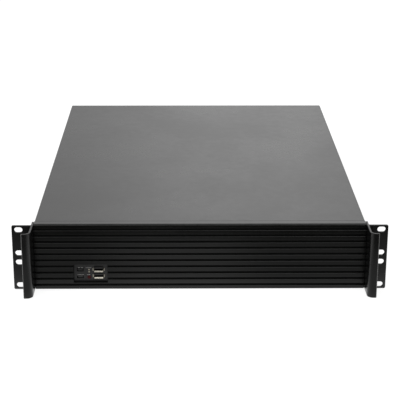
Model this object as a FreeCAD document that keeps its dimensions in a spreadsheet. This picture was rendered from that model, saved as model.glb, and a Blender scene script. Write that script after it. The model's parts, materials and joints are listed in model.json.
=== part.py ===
"""Empty 2U rackmount server case, as a parametric FreeCAD document (millimetres).

Frame: +Z up, +Y to the rear, X = 0 on the middle plane, origin at the middle of the case's
footprint on the surface that it stands on. Each sub-part is modelled with Y = 0 on the front face
of the ribbed panel, and its Placement moves it into the case's frame.
"""

import FreeCAD, Part
import math
import os
import Sketcher

doc = FreeCAD.newDocument("rack_case")

# ---------------------------------------------------------------- driving dimensions
SIZES = [
    # rack interface and overall size
    ("rack_width", 482.6, "19 inch ears, tip to tip"),
    ("rack_height", 88.0, "ears and front panel, two rack units less clearance"),
    ("ear_width", 27.3, "ear outside the body's side"),
    ("case_depth", 590.0, "front panel face to the cover's rear lip"),
    ("body_drop", 1.0, "top of the cover below the top of the front panel"),
    ("slot_inset", 8.75, "ear slot centres in from the ear's tip"),
    ("slot_edge", 5.9, "outer ear slots from the ear's ends"),
    ("slot_inner", 12.7, "between the two middle ear slots"),
    ("slot_length", 10.5, "ear slot, end to end"),
    ("slot_width", 7.0, "ear slot, across"),
    # sheet metal
    ("sheet", 1.2, "steel sheet"),
    ("bend", 0.8, "inside radius of a fold"),
    ("fit_gap", 0.2, "clearance between sheets that slide past each other"),
    ("ledge", 10.0, "inward fold that carries the cover"),
    ("cover_flange", 12.0, "height of the cover's folded sides and rear lip"),
    ("lip_inset", 4.0, "corner relief beside the cover's rear lip"),
    ("wall_flange", 12.0, "folds of the front frame and rear panel"),
    # front panel
    ("panel_thickness", 6.2, "ribbed aluminium panel"),
    ("panel_gap", 0.3, "panel end to handle"),
    ("groove_count", 10, "grooves in the panel"),
    ("groove_pitch", 8.5, "groove to groove"),
    ("groove_first", 5.75, "lowest groove above the ground"),
    ("groove_width", 3.0, "groove, across"),
    ("groove_depth", 2.5, "groove, deep"),
    ("rib_chamfer", 0.3, "broken edge of each rib"),
    ("strip_depth", 12.5, "fixed top strip behind the panel"),
    ("cover_gap", 0.3, "seam between the fixed strip and the cover"),
    ("joggle", 8.0, "support lip under the cover's front edge"),
    # handles with ears
    ("handle_reach", 31.5, "handle's lip in front of the panel"),
    ("handle_wall", 2.6, "wall of the handle extrusion"),
    ("handle_corner", 8.0, "outer radius of the handle's bend"),
    ("lip_width", 11.6, "handle's lip, out from the body side"),
    ("lip_round", 1.1, "rounding of the lip's free edge"),
    ("web_rear", 14.5, "end of the handle's web along the body side"),
    ("ear_front", -0.5, "front face of the ear"),
    ("ear_thickness", 3.0, "rack ear"),
    ("ear_corner", 2.0, "rounded corner of the ear"),
    ("web_fillet", 1.2, "fillet where the ear meets the web"),
    # controls at the front
    ("io_inset", 50.1, "control cut-out in from the body side"),
    ("io_width", 44.1, "control cut-out, across"),
    ("io_low", 8.6, "control cut-out's lower edge"),
    ("io_height", 25.4, "control cut-out, high"),
    ("io_recess", 4.7, "plate behind the panel's face"),
    ("io_clearance", 0.2, "plate in its cut-out"),
    ("io_border", 2.2, "window in the steel behind the plate"),
    ("usb_x", 32.3, "USB sockets from the cut-out's left edge"),
    ("usb_high", 17.2, "upper USB socket above the cut-out's lower edge"),
    ("usb_low", 8.2, "lower USB socket above the cut-out's lower edge"),
    ("usb_width", 13.2, "USB socket shell"),
    ("usb_height", 5.7, "USB socket shell"),
    ("usb_wall", 0.4, "USB shell sheet"),
    ("usb_depth", 14.0, "USB shell, front to back"),
    ("usb_proud", 1.2, "flared tabs in front of the plate"),
    ("usb_flare", 1.2, "spread of the flared tabs"),
    ("usb_tab", 0.55, "flared tab, measured across the mouth"),
    ("usb_tab_side", 1.0, "upper and lower tabs in from the shell's sides"),
    ("usb_tab_end", 0.9, "side tabs in from the shell's top and bottom"),
    ("tongue_width", 11.1, "USB tongue"),
    ("tongue_height", 1.9, "USB tongue"),
    ("tongue_offset", 1.1, "tongue above the shell's middle"),
    ("tongue_block", 3.0, "block behind the tongue, front to back"),
    ("tongue_inset", 2.0, "tongue's tip behind the shell's mouth"),
    ("button_x", 8.3, "buttons from the cut-out's left edge"),
    ("button_width", 8.0, "push button"),
    ("button_height", 4.0, "push button"),
    ("button_sink", 0.4, "button behind the plate's face"),
    ("button_travel", 1.0, "push of a button"),
    ("button_gap", 0.35, "button in its hole"),
    ("button_collar", 0.8, "collar that keeps a button in its plate"),
    ("button_round", 0.6, "rounded button corners"),
    ("collar_depth", 1.0, "collar, front to back"),
    ("collar_gap", 0.1, "collar behind the plate"),
    ("stem_width", 3.0, "button's stem"),
    ("stem_height", 2.0, "button's stem"),
    ("stem_gap", 0.3, "stem to its switch when pushed in"),
    ("switch_width", 6.0, "push switch"),
    ("switch_height", 4.6, "push switch"),
    ("switch_depth", 4.3, "push switch, front to back"),
    ("power_high", 16.3, "power button above the cut-out's lower edge"),
    ("reset_high", 6.6, "reset button above the cut-out's lower edge"),
    ("lamp_x", 19.8, "lamps from the cut-out's left edge"),
    ("lamp_upper", 16.6, "power lamp above the cut-out's lower edge"),
    ("lamp_middle", 13.5, "drive lamp above the cut-out's lower edge"),
    ("lamp_radius", 1.0, "power and drive lamps"),
    ("alarm_x", 19.8, "alarm lamp from the cut-out's left edge"),
    ("alarm_high", 6.1, "alarm lamp above the cut-out's lower edge"),
    ("alarm_radius", 2.3, "alarm lamp"),
    ("lamp_proud", 0.7, "lamps in front of the plate"),
    ("lamp_bevel", 0.35, "bevel of a lamp's front edge"),
    ("hole_play", 0.1, "sockets and lamps in their holes"),
    ("board_inset", 2.8, "control board inside the cut-out"),
    ("post_left", 4.5, "left post from the lamps' row"),
    ("post_right", 3.4, "right post from the lamps' row"),
    ("post_drop", 3.6, "right post below the drive lamp"),
    ("board_thickness", 1.6, "circuit boards"),
    ("post_radius", 1.2, "posts that carry the control board"),
    # main board stand-offs, slots and openings at the rear
    ("standoff_height", 6.5, "board stand-off"),
    ("standoff_across", 5.5, "board stand-off, across its flats"),
    ("standoff_hole", 1.35, "radius of a stand-off's thread"),
    ("standoff_step", 11.2, "left column of stand-offs from the outermost slot"),
    ("standoff_rear", 20.0, "rear row of stand-offs from the rear panel"),
    ("slot_count", 7, "expansion slots"),
    ("slot_pitch", 20.32, "expansion slot pitch"),
    ("slot_margin", 15.8, "outermost expansion slot in from the body's side"),
    ("slot_open_width", 12.4, "opening of an expansion slot"),
    ("slot_open_low", 11.0, "lower edge of the slot openings"),
    ("slot_head", 9.8, "slot covers' tabs below the ledges"),
    ("cover_plate_width", 18.4, "slot cover, across"),
    ("cover_plate_over", 3.0, "slot cover beyond its opening, above and below"),
    ("cover_plate_tab", 10.5, "folded tab of a slot cover"),
    ("cover_plate_sheet", 0.9, "slot cover sheet"),
    ("rail_fold", 7.0, "folds of the rail under the slot covers' tabs"),
    ("rail_foot", 5.0, "rail's foot on the rear panel"),
    ("shield_step", 16.28, "connector opening from the middle of the last slot"),
    ("shield_width", 158.75, "connector opening, across"),
    ("shield_low", 8.5, "lower edge of the connector opening"),
    ("shield_height", 44.45, "connector opening, high"),
    ("power_step", 8.25, "power supply opening from the connector opening"),
    ("power_margin", 11.0, "power supply opening in from the body's side"),
    ("power_low", 6.0, "lower edge of the power supply opening"),
    ("power_head", 13.8, "power supply opening below the ledges"),
    ("vent_count", 12, "vent slots above the connector opening"),
    ("vent_pitch", 13.0, "vent slot pitch"),
    ("vent_width", 6.0, "vent slot, across"),
    ("vent_head", 12.3, "vent slots below the ledges"),
    ("vent_low", 59.5, "lower edge of the vent slots"),
    ("cradle_length", 170.0, "power supply cradle, front to back"),
    ("cradle_height", 20.0, "side folds of the power supply cradle"),
    ("cradle_margin", 3.0, "cradle beyond the power supply opening"),
    # fans
    ("fan_clear", 1.7, "fan above the tray"),
    ("fan_depth", 25.0, "fan, front to back"),
    ("fan_count", 3, "fans in the fan wall"),
    ("fan_pitch", 100.0, "fan to fan"),
    ("fan_rim", 1.7, "wall of the fan's duct at its thinnest"),
    ("fan_flange", 4.0, "fan's end flanges"),
    ("fan_corner", 4.0, "rounded corners of the fan"),
    ("fan_bolt_edge", 4.25, "fan screw holes in from the fan's sides"),
    ("fan_bolt_radius", 2.2, "fan screw hole"),
    ("motor_radius", 16.0, "motor base"),
    ("strut_width", 4.0, "fan struts"),
    ("hub_radius", 17.5, "rotor hub"),
    ("hub_bevel", 1.5, "bevelled front edge of the hub"),
    ("hub_setback", 1.5, "hub behind the fan's front face"),
    ("blade_gap", 2.3, "end of a blade to the duct"),
    ("blade_count", 7, "blades of a rotor"),
    ("blade_thickness", 1.3, "rotor blade"),
    ("blade_curve", 24.0, "hollow side of a blade, radius"),
    ("blade_pitch_angle", 48.0, "blade to the shaft, degrees"),
    ("blade_arc_angle", 60.0, "arc of a blade's section, degrees"),
    ("blade_root", 3.5, "blade's start inside the hub"),
    ("rotor_clearance", 0.6, "rotor to motor base"),
    ("shaft_radius", 1.5, "rotor shaft"),
    ("shaft_clearance", 0.05, "shaft in its bearing"),
    ("shaft_end", 0.5, "shaft's end inside the motor base"),
    ("strut_seat", 0.5, "struts' ends inside the duct's wall"),
    ("fan_wall_y", 262.0, "front face of the fan wall behind the panel face"),
    ("fan_wall_side", 12.5, "fan wall's side folds, in from the body sides"),
    ("fan_opening_lap", 0.3, "air openings in the fan wall inside the fan's duct"),
    # drive cages
    ("cage_count", 2, "drive cages"),
    ("cage_pitch", 150.0, "cage to cage"),
    ("cage_margin", 12.0, "right-hand cage's foot in from the body's side"),
    ("cage_width", 104.4, "drive cage, outside"),
    ("cage_height", 62.0, "drive cage, high"),
    ("cage_length", 130.0, "drive cage, front to back"),
    ("cage_front", 50.0, "front edge of the cages"),
    ("cage_foot", 12.0, "feet of the cages"),
    ("cage_hole_length", 10.0, "drive screw slots"),
    ("cage_hole_width", 4.0, "drive screw slots, across"),
    ("cage_hole_low", 14.0, "lower row of drive screw slots"),
    ("cage_drive_pitch", 29.0, "lower to upper drive"),
    ("cage_hole_spread", 60.0, "front to rear drive screw slots"),
    # screws
    ("board_column_2", 157.48, "second column of board holes from the first"),
    ("board_edge", 3.81, "right column of board holes inside the connector opening"),
    ("board_row_2", 154.94, "second row of board holes from the rear one"),
    ("board_row_3", 227.33, "third row of board holes from the rear one"),
    ("screw_radius", 1.5, "thread of the case screws"),
    ("head_radius", 3.0, "screw head"),
    ("head_height", 2.0, "screw head, high"),
    ("screw_gap", 0.3, "screw in its clearance hole"),
    ("lip_screw_inset", 34.0, "rear cover screws in from the body's side"),
    ("lip_screw_drop", 7.0, "rear cover screws below the cover's top"),
    ("panel_screw_inset", 19.0, "outer panel screws in from the body's side"),
    ("panel_screw_inner", 65.0, "inner panel screws from the middle"),
    ("panel_screw_depth", 2.6, "panel screws into the panel"),
    ("tap_depth", 0.2, "threaded hole beyond its screw's end"),
    ("handle_screw_y", 11.0, "handle screws behind the panel's face"),
    ("handle_screw_spread", 52.0, "lower to upper handle screw"),
    ("cage_screw_spread", 90.0, "front to rear screw of a drive cage"),
    ("cover_screw_length", 5.0, "rear cover screws"),
    ("fan_screw_length", 8.0, "fan screws"),
    ("slot_screw_length", 5.0, "slot cover screws"),
    ("screw_stop", 0.1, "cage screws' ends above the ground"),
    ("notch_play", 1.0, "cuts run past the edge that they open"),
]

dims = doc.addObject("Spreadsheet::Sheet", "dims")
for row, (alias, number, meaning) in enumerate(SIZES, start=1):
    dims.set(f"A{row}", meaning)
    dims.set(f"B{row}", str(number))
    dims.setAlias(f"B{row}", alias)
doc.recompute()

# ---------------------------------------------------------------- places worked out from them
HALF = "(dims.rack_width / 2 - dims.ear_width)"
COVER_TOP = "(dims.rack_height - dims.body_drop)"
FACE = "(dims.handle_reach - dims.case_depth - dims.head_height) / 2"
INNER = f"({HALF} - dims.sheet - dims.fit_gap)"
LEDGE_TOP = f"({COVER_TOP} - dims.sheet)"
WALL = "dims.panel_thickness"
REAR = "(dims.case_depth - dims.sheet - dims.fit_gap)"
STRIP_END = "(dims.panel_thickness + dims.strip_depth)"
IO_LEFT = f"(dims.io_inset - {HALF})"
PLATE_BACK = "dims.panel_thickness"
BOARD = "(dims.io_recess - dims.usb_proud + dims.usb_depth)"
OUTER_BEND = "(dims.bend + dims.sheet)"
SLOT_FIRST = f"(dims.slot_margin - {HALF})"
SLOT_LAST = f"({SLOT_FIRST} + dims.slot_pitch * (dims.slot_count - 1))"
SLOT_TOP = f"({LEDGE_TOP} - dims.slot_head)"
SLOT_OPEN_TOP = f"({SLOT_TOP} - dims.cover_plate_over)"
SHIELD_LEFT = f"({SLOT_LAST} + dims.shield_step)"
POWER_LEFT = f"({SHIELD_LEFT} + dims.shield_width + dims.power_step)"
POWER_RIGHT = f"({HALF} - dims.power_margin)"
CAGE_LAST = f"({HALF} - dims.cage_margin - dims.cage_foot - dims.cage_width / 2)"
LIP_SCREW_X = f"({HALF} - dims.lip_screw_inset)"
STANDOFF_LEFT = f"({SLOT_FIRST} + dims.standoff_step)"
BOARD_RIGHT = f"({SHIELD_LEFT} + dims.shield_width - dims.board_edge - {STANDOFF_LEFT})"
FAN_HEIGHT = f"(({COVER_TOP} - dims.sheet) / 2)"
FAN_SIZE = f"(2 * ({FAN_HEIGHT} - dims.sheet - dims.fan_clear))"
FAN_BORE = f"({FAN_SIZE} / 2 - dims.fan_rim)"
FAN_BOLT = f"({FAN_SIZE} / 2 - dims.fan_bolt_edge)"
CLEARANCE_HOLE = "(dims.screw_radius + dims.screw_gap)"

parts = []


def number(expression):
    """Value that an expression over the sheet gives now."""
    return float(dims.evalExpression(str(expression)))


def count(alias):
    return int(number(f"dims.{alias}"))


# ---------------------------------------------------------------- modelling helpers
def body(label, x="0", y="0", z="0", several=False):
    """New sub-part, placed by expressions measured from the panel's front face."""
    item = doc.addObject("PartDesign::Body", label)
    item.Label = label
    item.AllowCompound = several
    item.setExpression("Placement.Base.x", str(x))
    item.setExpression("Placement.Base.y", f"{FACE} + {y}")
    item.setExpression("Placement.Base.z", str(z))
    parts.append(item)
    return item


def sketch(item, plane, level="0"):
    """Empty sketch on one of the body's origin planes, moved to a world level along its normal."""
    drawing = item.newObject("Sketcher::SketchObject", f"{item.Label}_sketch")
    support = [feature for feature in item.Origin.OriginFeatures if feature.Role == plane]
    drawing.AttachmentSupport = (support[0], [""])
    drawing.MapMode = "FlatFace"
    sign = "-" if plane == "XZ_Plane" else ""
    drawing.setExpression("AttachmentOffset.Base.z", f"{sign}({level})")
    return drawing


def fix(drawing, element, point, across, up):
    """Tie a sketch point to its place, given by two expressions."""
    for kind, expression in (("DistanceX", across), ("DistanceY", up)):
        index = drawing.addConstraint(
            Sketcher.Constraint(kind, -1, 1, element, point, number(expression))
        )
        drawing.setExpression(f"Constraints[{index}]", str(expression))


def outline(drawing, corners):
    """Closed polygon through corners given as pairs of expressions."""
    places = [FreeCAD.Vector(number(across), number(up), 0) for across, up in corners]
    first = drawing.GeometryCount
    total = len(corners)
    for index in range(total):
        drawing.addGeometry(Part.LineSegment(places[index], places[(index + 1) % total]))
    for index, (across, up) in enumerate(corners):
        following = first + (index + 1) % total
        drawing.addConstraint(Sketcher.Constraint("Coincident", first + index, 2, following, 1))
        fix(drawing, first + index, 1, across, up)
    return drawing


def rectangle(drawing, low_x, low_y, high_x, high_y):
    corners = [(low_x, low_y), (high_x, low_y), (high_x, high_y), (low_x, high_y)]
    return outline(drawing, corners)


def circle(drawing, across, up, radius):
    centre = FreeCAD.Vector(number(across), number(up), 0)
    ring = Part.Circle(centre, FreeCAD.Vector(0, 0, 1), number(radius))
    element = drawing.addGeometry(ring)
    index = drawing.addConstraint(Sketcher.Constraint("Radius", element, number(radius)))
    drawing.setExpression(f"Constraints[{index}]", str(radius))
    fix(drawing, element, 3, across, up)
    return drawing


def obround(drawing, across, up, length, width):
    """Slot with round ends that lies along the sketch's first axis."""
    reach = f"(({length}) - ({width})) / 2"
    radius = number(width) / 2
    ends = []
    for side, start in ((-1, math.pi / 2), (1, -math.pi / 2)):
        centre = FreeCAD.Vector(number(f"({across}) + {side} * {reach}"), number(up), 0)
        ring = Part.Circle(centre, FreeCAD.Vector(0, 0, 1), radius)
        ends.append(drawing.addGeometry(Part.ArcOfCircle(ring, start, start + math.pi)))
    left, right = ends
    for edge_up in (-radius, radius):
        level = number(up) + edge_up
        low = FreeCAD.Vector(number(f"({across}) - {reach}"), level, 0)
        high = FreeCAD.Vector(number(f"({across}) + {reach}"), level, 0)
        line = drawing.addGeometry(Part.LineSegment(low, high))
        left_point, right_point = (2, 1) if edge_up < 0 else (1, 2)
        drawing.addConstraint(Sketcher.Constraint("Tangent", left, left_point, line, 1))
        drawing.addConstraint(Sketcher.Constraint("Tangent", right, right_point, line, 2))
    index = drawing.addConstraint(Sketcher.Constraint("Radius", left, radius))
    drawing.setExpression(f"Constraints[{index}]", f"({width}) / 2")
    fix(drawing, left, 3, f"({across}) - {reach}", up)
    fix(drawing, right, 3, f"({across}) + {reach}", up)
    return drawing


def extrude(item, kind, drawing, length, onward=True, centred=False):
    """Pad or Pocket of a sketch; onward runs it along the world axis normal to its plane."""
    feature = item.newObject(f"PartDesign::{kind}", f"{item.Label}_{kind.lower()}")
    feature.Profile = drawing
    feature.setExpression("Length", str(length))
    faces_back = drawing.AttachmentSupport[0][0].Role == "XZ_Plane"
    natural = (kind == "Pad") != faces_back
    if centred:
        feature.Midplane = True
    else:
        feature.Reversed = natural != onward
    return feature


def pad(item, drawing, length, onward=True, centred=False):
    return extrude(item, "Pad", drawing, length, onward, centred)


def pocket(item, drawing, length, onward=True, centred=False):
    """Cut that is compared with the solid before it, because an idle cut shows no error."""
    doc.recompute()
    before = item.Shape.Volume
    feature = extrude(item, "Pocket", drawing, length, onward, centred)
    doc.recompute()
    if item.Shape.Volume > before - 1e-6:
        raise RuntimeError(f"{feature.Label} cuts nothing")
    return feature


def pattern(item, originals, axis, step, occurrences):
    """Row of copies of a feature along one of the body's origin axes."""
    feature = item.newObject("PartDesign::LinearPattern", f"{item.Label}_row")
    feature.Originals = originals
    support = [line for line in item.Origin.OriginFeatures if line.Role == axis]
    feature.Direction = (support[0], [""])
    feature.setExpression("Length", f"({step}) * ({occurrences} - 1)")
    feature.setExpression("Occurrences", str(occurrences))
    item.Tip = feature
    return feature


def edges_along(shape, axis, places):
    """Names of the straight edges along an axis whose other two coordinates are in places."""
    others = [index for index in range(3) if index != axis]
    names = []
    for index, edge in enumerate(shape.Edges, start=1):
        start, end = edge.Vertexes[0].Point, edge.Vertexes[-1].Point
        straight = edge.Curve.TypeId == "Part::GeomLine"
        if not straight or abs(start[axis] - end[axis]) < 1e-6:
            continue
        for place in places:
            near = all(
                abs(point[other] - wanted) < 1e-4
                for point in (start, end)
                for other, wanted in zip(others, place)
            )
            if near:
                names.append(f"Edge{index}")
    return names


def fillet(item, radius, *runs):
    """Round straight edges; each run is an axis (0, 1 or 2) and the places of edges along it."""
    doc.recompute()
    base = item.Tip
    names = []
    for axis, places in runs:
        wanted = [(number(first), number(second)) for first, second in places]
        found = edges_along(base.Shape, axis, wanted)
        if not found:
            raise RuntimeError(f"{item.Label} has no edge to round")
        names += found
    feature = item.newObject("PartDesign::Fillet", f"{item.Label}_fillet")
    feature.Base = (base, names)
    feature.setExpression("Radius", str(radius))
    item.Tip = feature
    return feature


# ---------------------------------------------------------------- places of the screws
PANEL_SCREWS = [
    (f"{side} * {across}", "dims.rack_height / 2")
    for side in (-1, 1)
    for across in (f"({HALF} - dims.panel_screw_inset)", "dims.panel_screw_inner")
]
HANDLE_SCREWS = [f"dims.rack_height / 2 + {sign} * dims.handle_screw_spread / 2" for sign in (-1, 1)]


def cage_x(index):
    return f"({CAGE_LAST} - (dims.cage_count - 1 - {index}) * dims.cage_pitch)"


def cage_screw(index, sign):
    """Place of one of a drive cage's two foot screws."""
    across = f"{cage_x(index)} + {sign} * (dims.cage_width + dims.cage_foot) / 2"
    along = f"dims.cage_front + dims.cage_length / 2 + {sign} * dims.cage_screw_spread / 2"
    return across, along


# ---------------------------------------------------------------- steel body
def base_tray():
    """Bottom and two sides folded from one sheet, with inward ledges that carry the cover."""
    item = body("base_tray")
    length = f"{REAR} - {WALL} - 2 * dims.sheet"
    right = [
        (INNER, "0"),
        (INNER, LEDGE_TOP),
        (f"{INNER} - dims.ledge", LEDGE_TOP),
        (f"{INNER} - dims.ledge", f"{LEDGE_TOP} - dims.sheet"),
        (f"{INNER} - dims.sheet", f"{LEDGE_TOP} - dims.sheet"),
        (f"{INNER} - dims.sheet", "dims.sheet"),
    ]
    left = [(f"-({across})", up) for across, up in reversed(right)]
    profile = outline(sketch(item, "XZ_Plane", f"{WALL} + dims.sheet"), right + left)
    pad(item, profile, length)
    outside = [(f"{side} * {INNER}", level) for side in (-1, 1) for level in ("0", LEDGE_TOP)]
    inside = [
        (f"{side} * ({INNER} - dims.sheet)", level)
        for side in (-1, 1)
        for level in ("dims.sheet", f"{LEDGE_TOP} - dims.sheet")
    ]
    fillet(item, OUTER_BEND, (1, outside))
    fillet(item, "dims.bend", (1, inside))
    holes = sketch(item, "YZ_Plane")
    for up in HANDLE_SCREWS:
        circle(holes, "dims.handle_screw_y", up, CLEARANCE_HOLE)
    pocket(item, holes, f"2 * ({HALF})", centred=True)
    feet = sketch(item, "XY_Plane")
    for index in range(count("cage_count")):
        for sign in (-1, 1):
            across, along = cage_screw(index, sign)
            circle(feet, across, along, "dims.screw_radius")
    pocket(item, feet, "dims.sheet", onward=True)
    return item


def front_frame():
    """Front wall with the fixed top strip, side flanges and a joggled lip under the cover."""
    item = body("front_frame")
    back = f"{WALL} + dims.sheet"
    lip_start = f"{STRIP_END} - dims.sheet"
    lip_end = f"{STRIP_END} + dims.joggle"
    section = [
        (WALL, "dims.sheet"),
        (WALL, COVER_TOP),
        (STRIP_END, COVER_TOP),
        (STRIP_END, LEDGE_TOP),
        (back, LEDGE_TOP),
        (back, "2 * dims.sheet"),
        (f"{WALL} + dims.wall_flange", "2 * dims.sheet"),
        (f"{WALL} + dims.wall_flange", "dims.sheet"),
    ]
    clear = f"({INNER} - dims.sheet - dims.bend - dims.fit_gap)"
    wall = outline(sketch(item, "YZ_Plane"), section)
    pad(item, wall, f"2 * ({HALF})", centred=True)
    under = rectangle(
        sketch(item, "YZ_Plane"), lip_start, f"{LEDGE_TOP} - dims.sheet", lip_end, LEDGE_TOP
    )
    pad(item, under, f"2 * ({INNER} - dims.ledge - dims.fit_gap)", centred=True)
    sides = sketch(item, "XY_Plane", "dims.sheet")
    for side in (-1, 1):
        inner_edge = f"{side} * ({HALF} - dims.sheet)"
        outer_edge = f"{side} * {HALF}"
        low, high = (inner_edge, outer_edge) if side > 0 else (outer_edge, inner_edge)
        rectangle(sides, low, WALL, high, STRIP_END)
    pad(item, sides, f"{COVER_TOP} - dims.sheet")
    # the bottom fold stops short of the tray's sides
    ends = sketch(item, "XY_Plane", "dims.sheet")
    for side in (-1, 1):
        low, high = sorted(
            (f"{side} * {clear}", f"{side} * ({HALF} - dims.sheet)"), key=number
        )
        rectangle(ends, low, back, high, f"{WALL} + dims.wall_flange + dims.notch_play")
    pocket(item, ends, "dims.sheet", onward=True)
    window = rectangle(
        sketch(item, "XZ_Plane", WALL),
        f"{IO_LEFT} + dims.io_border",
        "dims.io_low + dims.io_border",
        f"{IO_LEFT} + dims.io_width - dims.io_border",
        "dims.io_low + dims.io_height - dims.io_border",
    )
    pocket(item, window, "dims.sheet")
    fillet(item, OUTER_BEND, (0, [(WALL, COVER_TOP)]))
    holes = sketch(item, "XZ_Plane", WALL)
    for across, up in PANEL_SCREWS:
        circle(holes, across, up, CLEARANCE_HOLE)
    pocket(item, holes, "dims.sheet")
    sides = sketch(item, "YZ_Plane")
    for up in HANDLE_SCREWS:
        circle(sides, "dims.handle_screw_y", up, CLEARANCE_HOLE)
    pocket(item, sides, f"2 * ({HALF})", centred=True)
    return item


def rear_panel():
    """Rear wall with the connector, slot, power supply and vent openings."""
    item = body("rear_panel")
    front = f"({REAR} - dims.sheet)"
    clear = f"({INNER} - dims.sheet - dims.bend - dims.fit_gap)"
    wall = rectangle(
        sketch(item, "XZ_Plane", REAR), f"-{INNER}", "0", INNER, LEDGE_TOP
    )
    pad(item, wall, "dims.sheet", onward=False)
    corners = [(f"{side} * {INNER}", level) for side in (-1, 1) for level in ("0", LEDGE_TOP)]
    fillet(item, OUTER_BEND, (1, corners))
    folds = sketch(item, "XZ_Plane", front)
    between = f"({INNER} - dims.ledge - dims.fit_gap)"
    top_fold = f"{LEDGE_TOP} - dims.sheet"
    rectangle(folds, f"-{between}", top_fold, between, LEDGE_TOP)
    rectangle(folds, f"-{clear}", "dims.sheet", clear, "2 * dims.sheet")
    pad(item, folds, "dims.wall_flange", onward=False)
    shield = rectangle(
        sketch(item, "XZ_Plane", front),
        SHIELD_LEFT,
        "dims.shield_low",
        f"{SHIELD_LEFT} + dims.shield_width",
        "dims.shield_low + dims.shield_height",
    )
    pocket(item, shield, "dims.sheet")
    power = rectangle(
        sketch(item, "XZ_Plane", front),
        POWER_LEFT,
        "dims.power_low",
        POWER_RIGHT,
        f"{LEDGE_TOP} - dims.power_head",
    )
    pocket(item, power, "dims.sheet")
    slot = rectangle(
        sketch(item, "XZ_Plane", front),
        f"{SLOT_FIRST} - dims.slot_open_width / 2",
        "dims.slot_open_low",
        f"{SLOT_FIRST} + dims.slot_open_width / 2",
        SLOT_OPEN_TOP,
    )
    slot_cut = pocket(item, slot, "dims.sheet")
    pattern(item, [slot_cut], "X_Axis", "dims.slot_pitch", "dims.slot_count")
    vent_row = "(dims.vent_pitch * (dims.vent_count - 1) + dims.vent_width)"
    vent_left = f"({SHIELD_LEFT} + (dims.shield_width - {vent_row}) / 2)"
    vent = rectangle(
        sketch(item, "XZ_Plane", front),
        vent_left,
        "dims.vent_low",
        f"{vent_left} + dims.vent_width",
        f"{LEDGE_TOP} - dims.vent_head",
    )
    vent_cut = pocket(item, vent, "dims.sheet")
    pattern(item, [vent_cut], "X_Axis", "dims.vent_pitch", "dims.vent_count")
    holes = sketch(item, "XZ_Plane", front)
    for side in (-1, 1):
        circle(
            holes,
            f"{side} * {LIP_SCREW_X}",
            f"{COVER_TOP} - dims.lip_screw_drop",
            "dims.screw_radius",
        )
    pocket(item, holes, "dims.sheet")
    return item


def top_cover():
    """Lift-off cover: one sheet with folded sides and a notched rear lip."""
    item = body("top_cover")
    start = f"({STRIP_END} + dims.cover_gap)"
    bottom = f"{COVER_TOP} - dims.cover_flange"
    section = [
        (HALF, COVER_TOP),
        (HALF, bottom),
        (f"{HALF} - dims.sheet", bottom),
        (f"{HALF} - dims.sheet", LEDGE_TOP),
    ]
    mirrored = [(f"-({across})", up) for across, up in reversed(section)]
    profile = outline(sketch(item, "XZ_Plane", start), section + mirrored)
    pad(item, profile, f"dims.case_depth - {start}")
    lip = rectangle(
        sketch(item, "XZ_Plane", "dims.case_depth"),
        f"dims.lip_inset - ({HALF})",
        bottom,
        f"{HALF} - dims.lip_inset",
        LEDGE_TOP,
    )
    pad(item, lip, "dims.sheet", onward=False)
    notches = sketch(item, "XZ_Plane", "dims.case_depth - dims.sheet")
    reach = CLEARANCE_HOLE
    height = f"{COVER_TOP} - dims.lip_screw_drop"
    for side in (-1, 1):
        middle = f"{side} * {LIP_SCREW_X}"
        rectangle(
            notches,
            f"{middle} - {reach}",
            f"{bottom} - dims.notch_play",
            f"{middle} + {reach}",
            f"{height} + {reach}",
        )
    pocket(item, notches, "dims.sheet")
    inside = [(f"{side} * ({HALF} - dims.sheet)", LEDGE_TOP) for side in (-1, 1)]
    fillet(item, "dims.bend", (1, inside))
    outside = [(f"{side} * {HALF}", COVER_TOP) for side in (-1, 1)]
    fillet(item, OUTER_BEND, (1, outside))
    fillet(item, "dims.bend", (0, [("dims.case_depth", COVER_TOP)]))
    return item


# ---------------------------------------------------------------- front panel and handles
def front_panel():
    """Extruded panel with a row of grooves and the cut-out for the controls."""
    item = body("front_panel")
    reach = f"({HALF} - dims.panel_gap)"
    slab = rectangle(sketch(item, "YZ_Plane"), "0", "0", "dims.panel_thickness", "dims.rack_height")
    pad(item, slab, f"2 * {reach}", centred=True)
    half = "dims.groove_width / 2"
    groove = [
        ("0", f"dims.groove_first - {half} - dims.rib_chamfer"),
        ("dims.rib_chamfer", f"dims.groove_first - {half}"),
        ("dims.groove_depth", f"dims.groove_first - {half}"),
        ("dims.groove_depth", f"dims.groove_first + {half}"),
        ("dims.rib_chamfer", f"dims.groove_first + {half}"),
        ("0", f"dims.groove_first + {half} + dims.rib_chamfer"),
    ]
    profile = outline(sketch(item, "YZ_Plane"), groove)
    groove_cut = pocket(item, profile, "dims.rack_width", centred=True)
    pattern(item, [groove_cut], "Z_Axis", "dims.groove_pitch", "dims.groove_count")
    window = rectangle(
        sketch(item, "XZ_Plane"),
        IO_LEFT,
        "dims.io_low",
        f"{IO_LEFT} + dims.io_width",
        "dims.io_low + dims.io_height",
    )
    pocket(item, window, "dims.panel_thickness")
    holes = sketch(item, "XZ_Plane", WALL)
    for across, up in PANEL_SCREWS:
        circle(holes, across, up, "dims.screw_radius")
    pocket(item, holes, "dims.panel_screw_depth + dims.tap_depth", onward=False)
    return item


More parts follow.
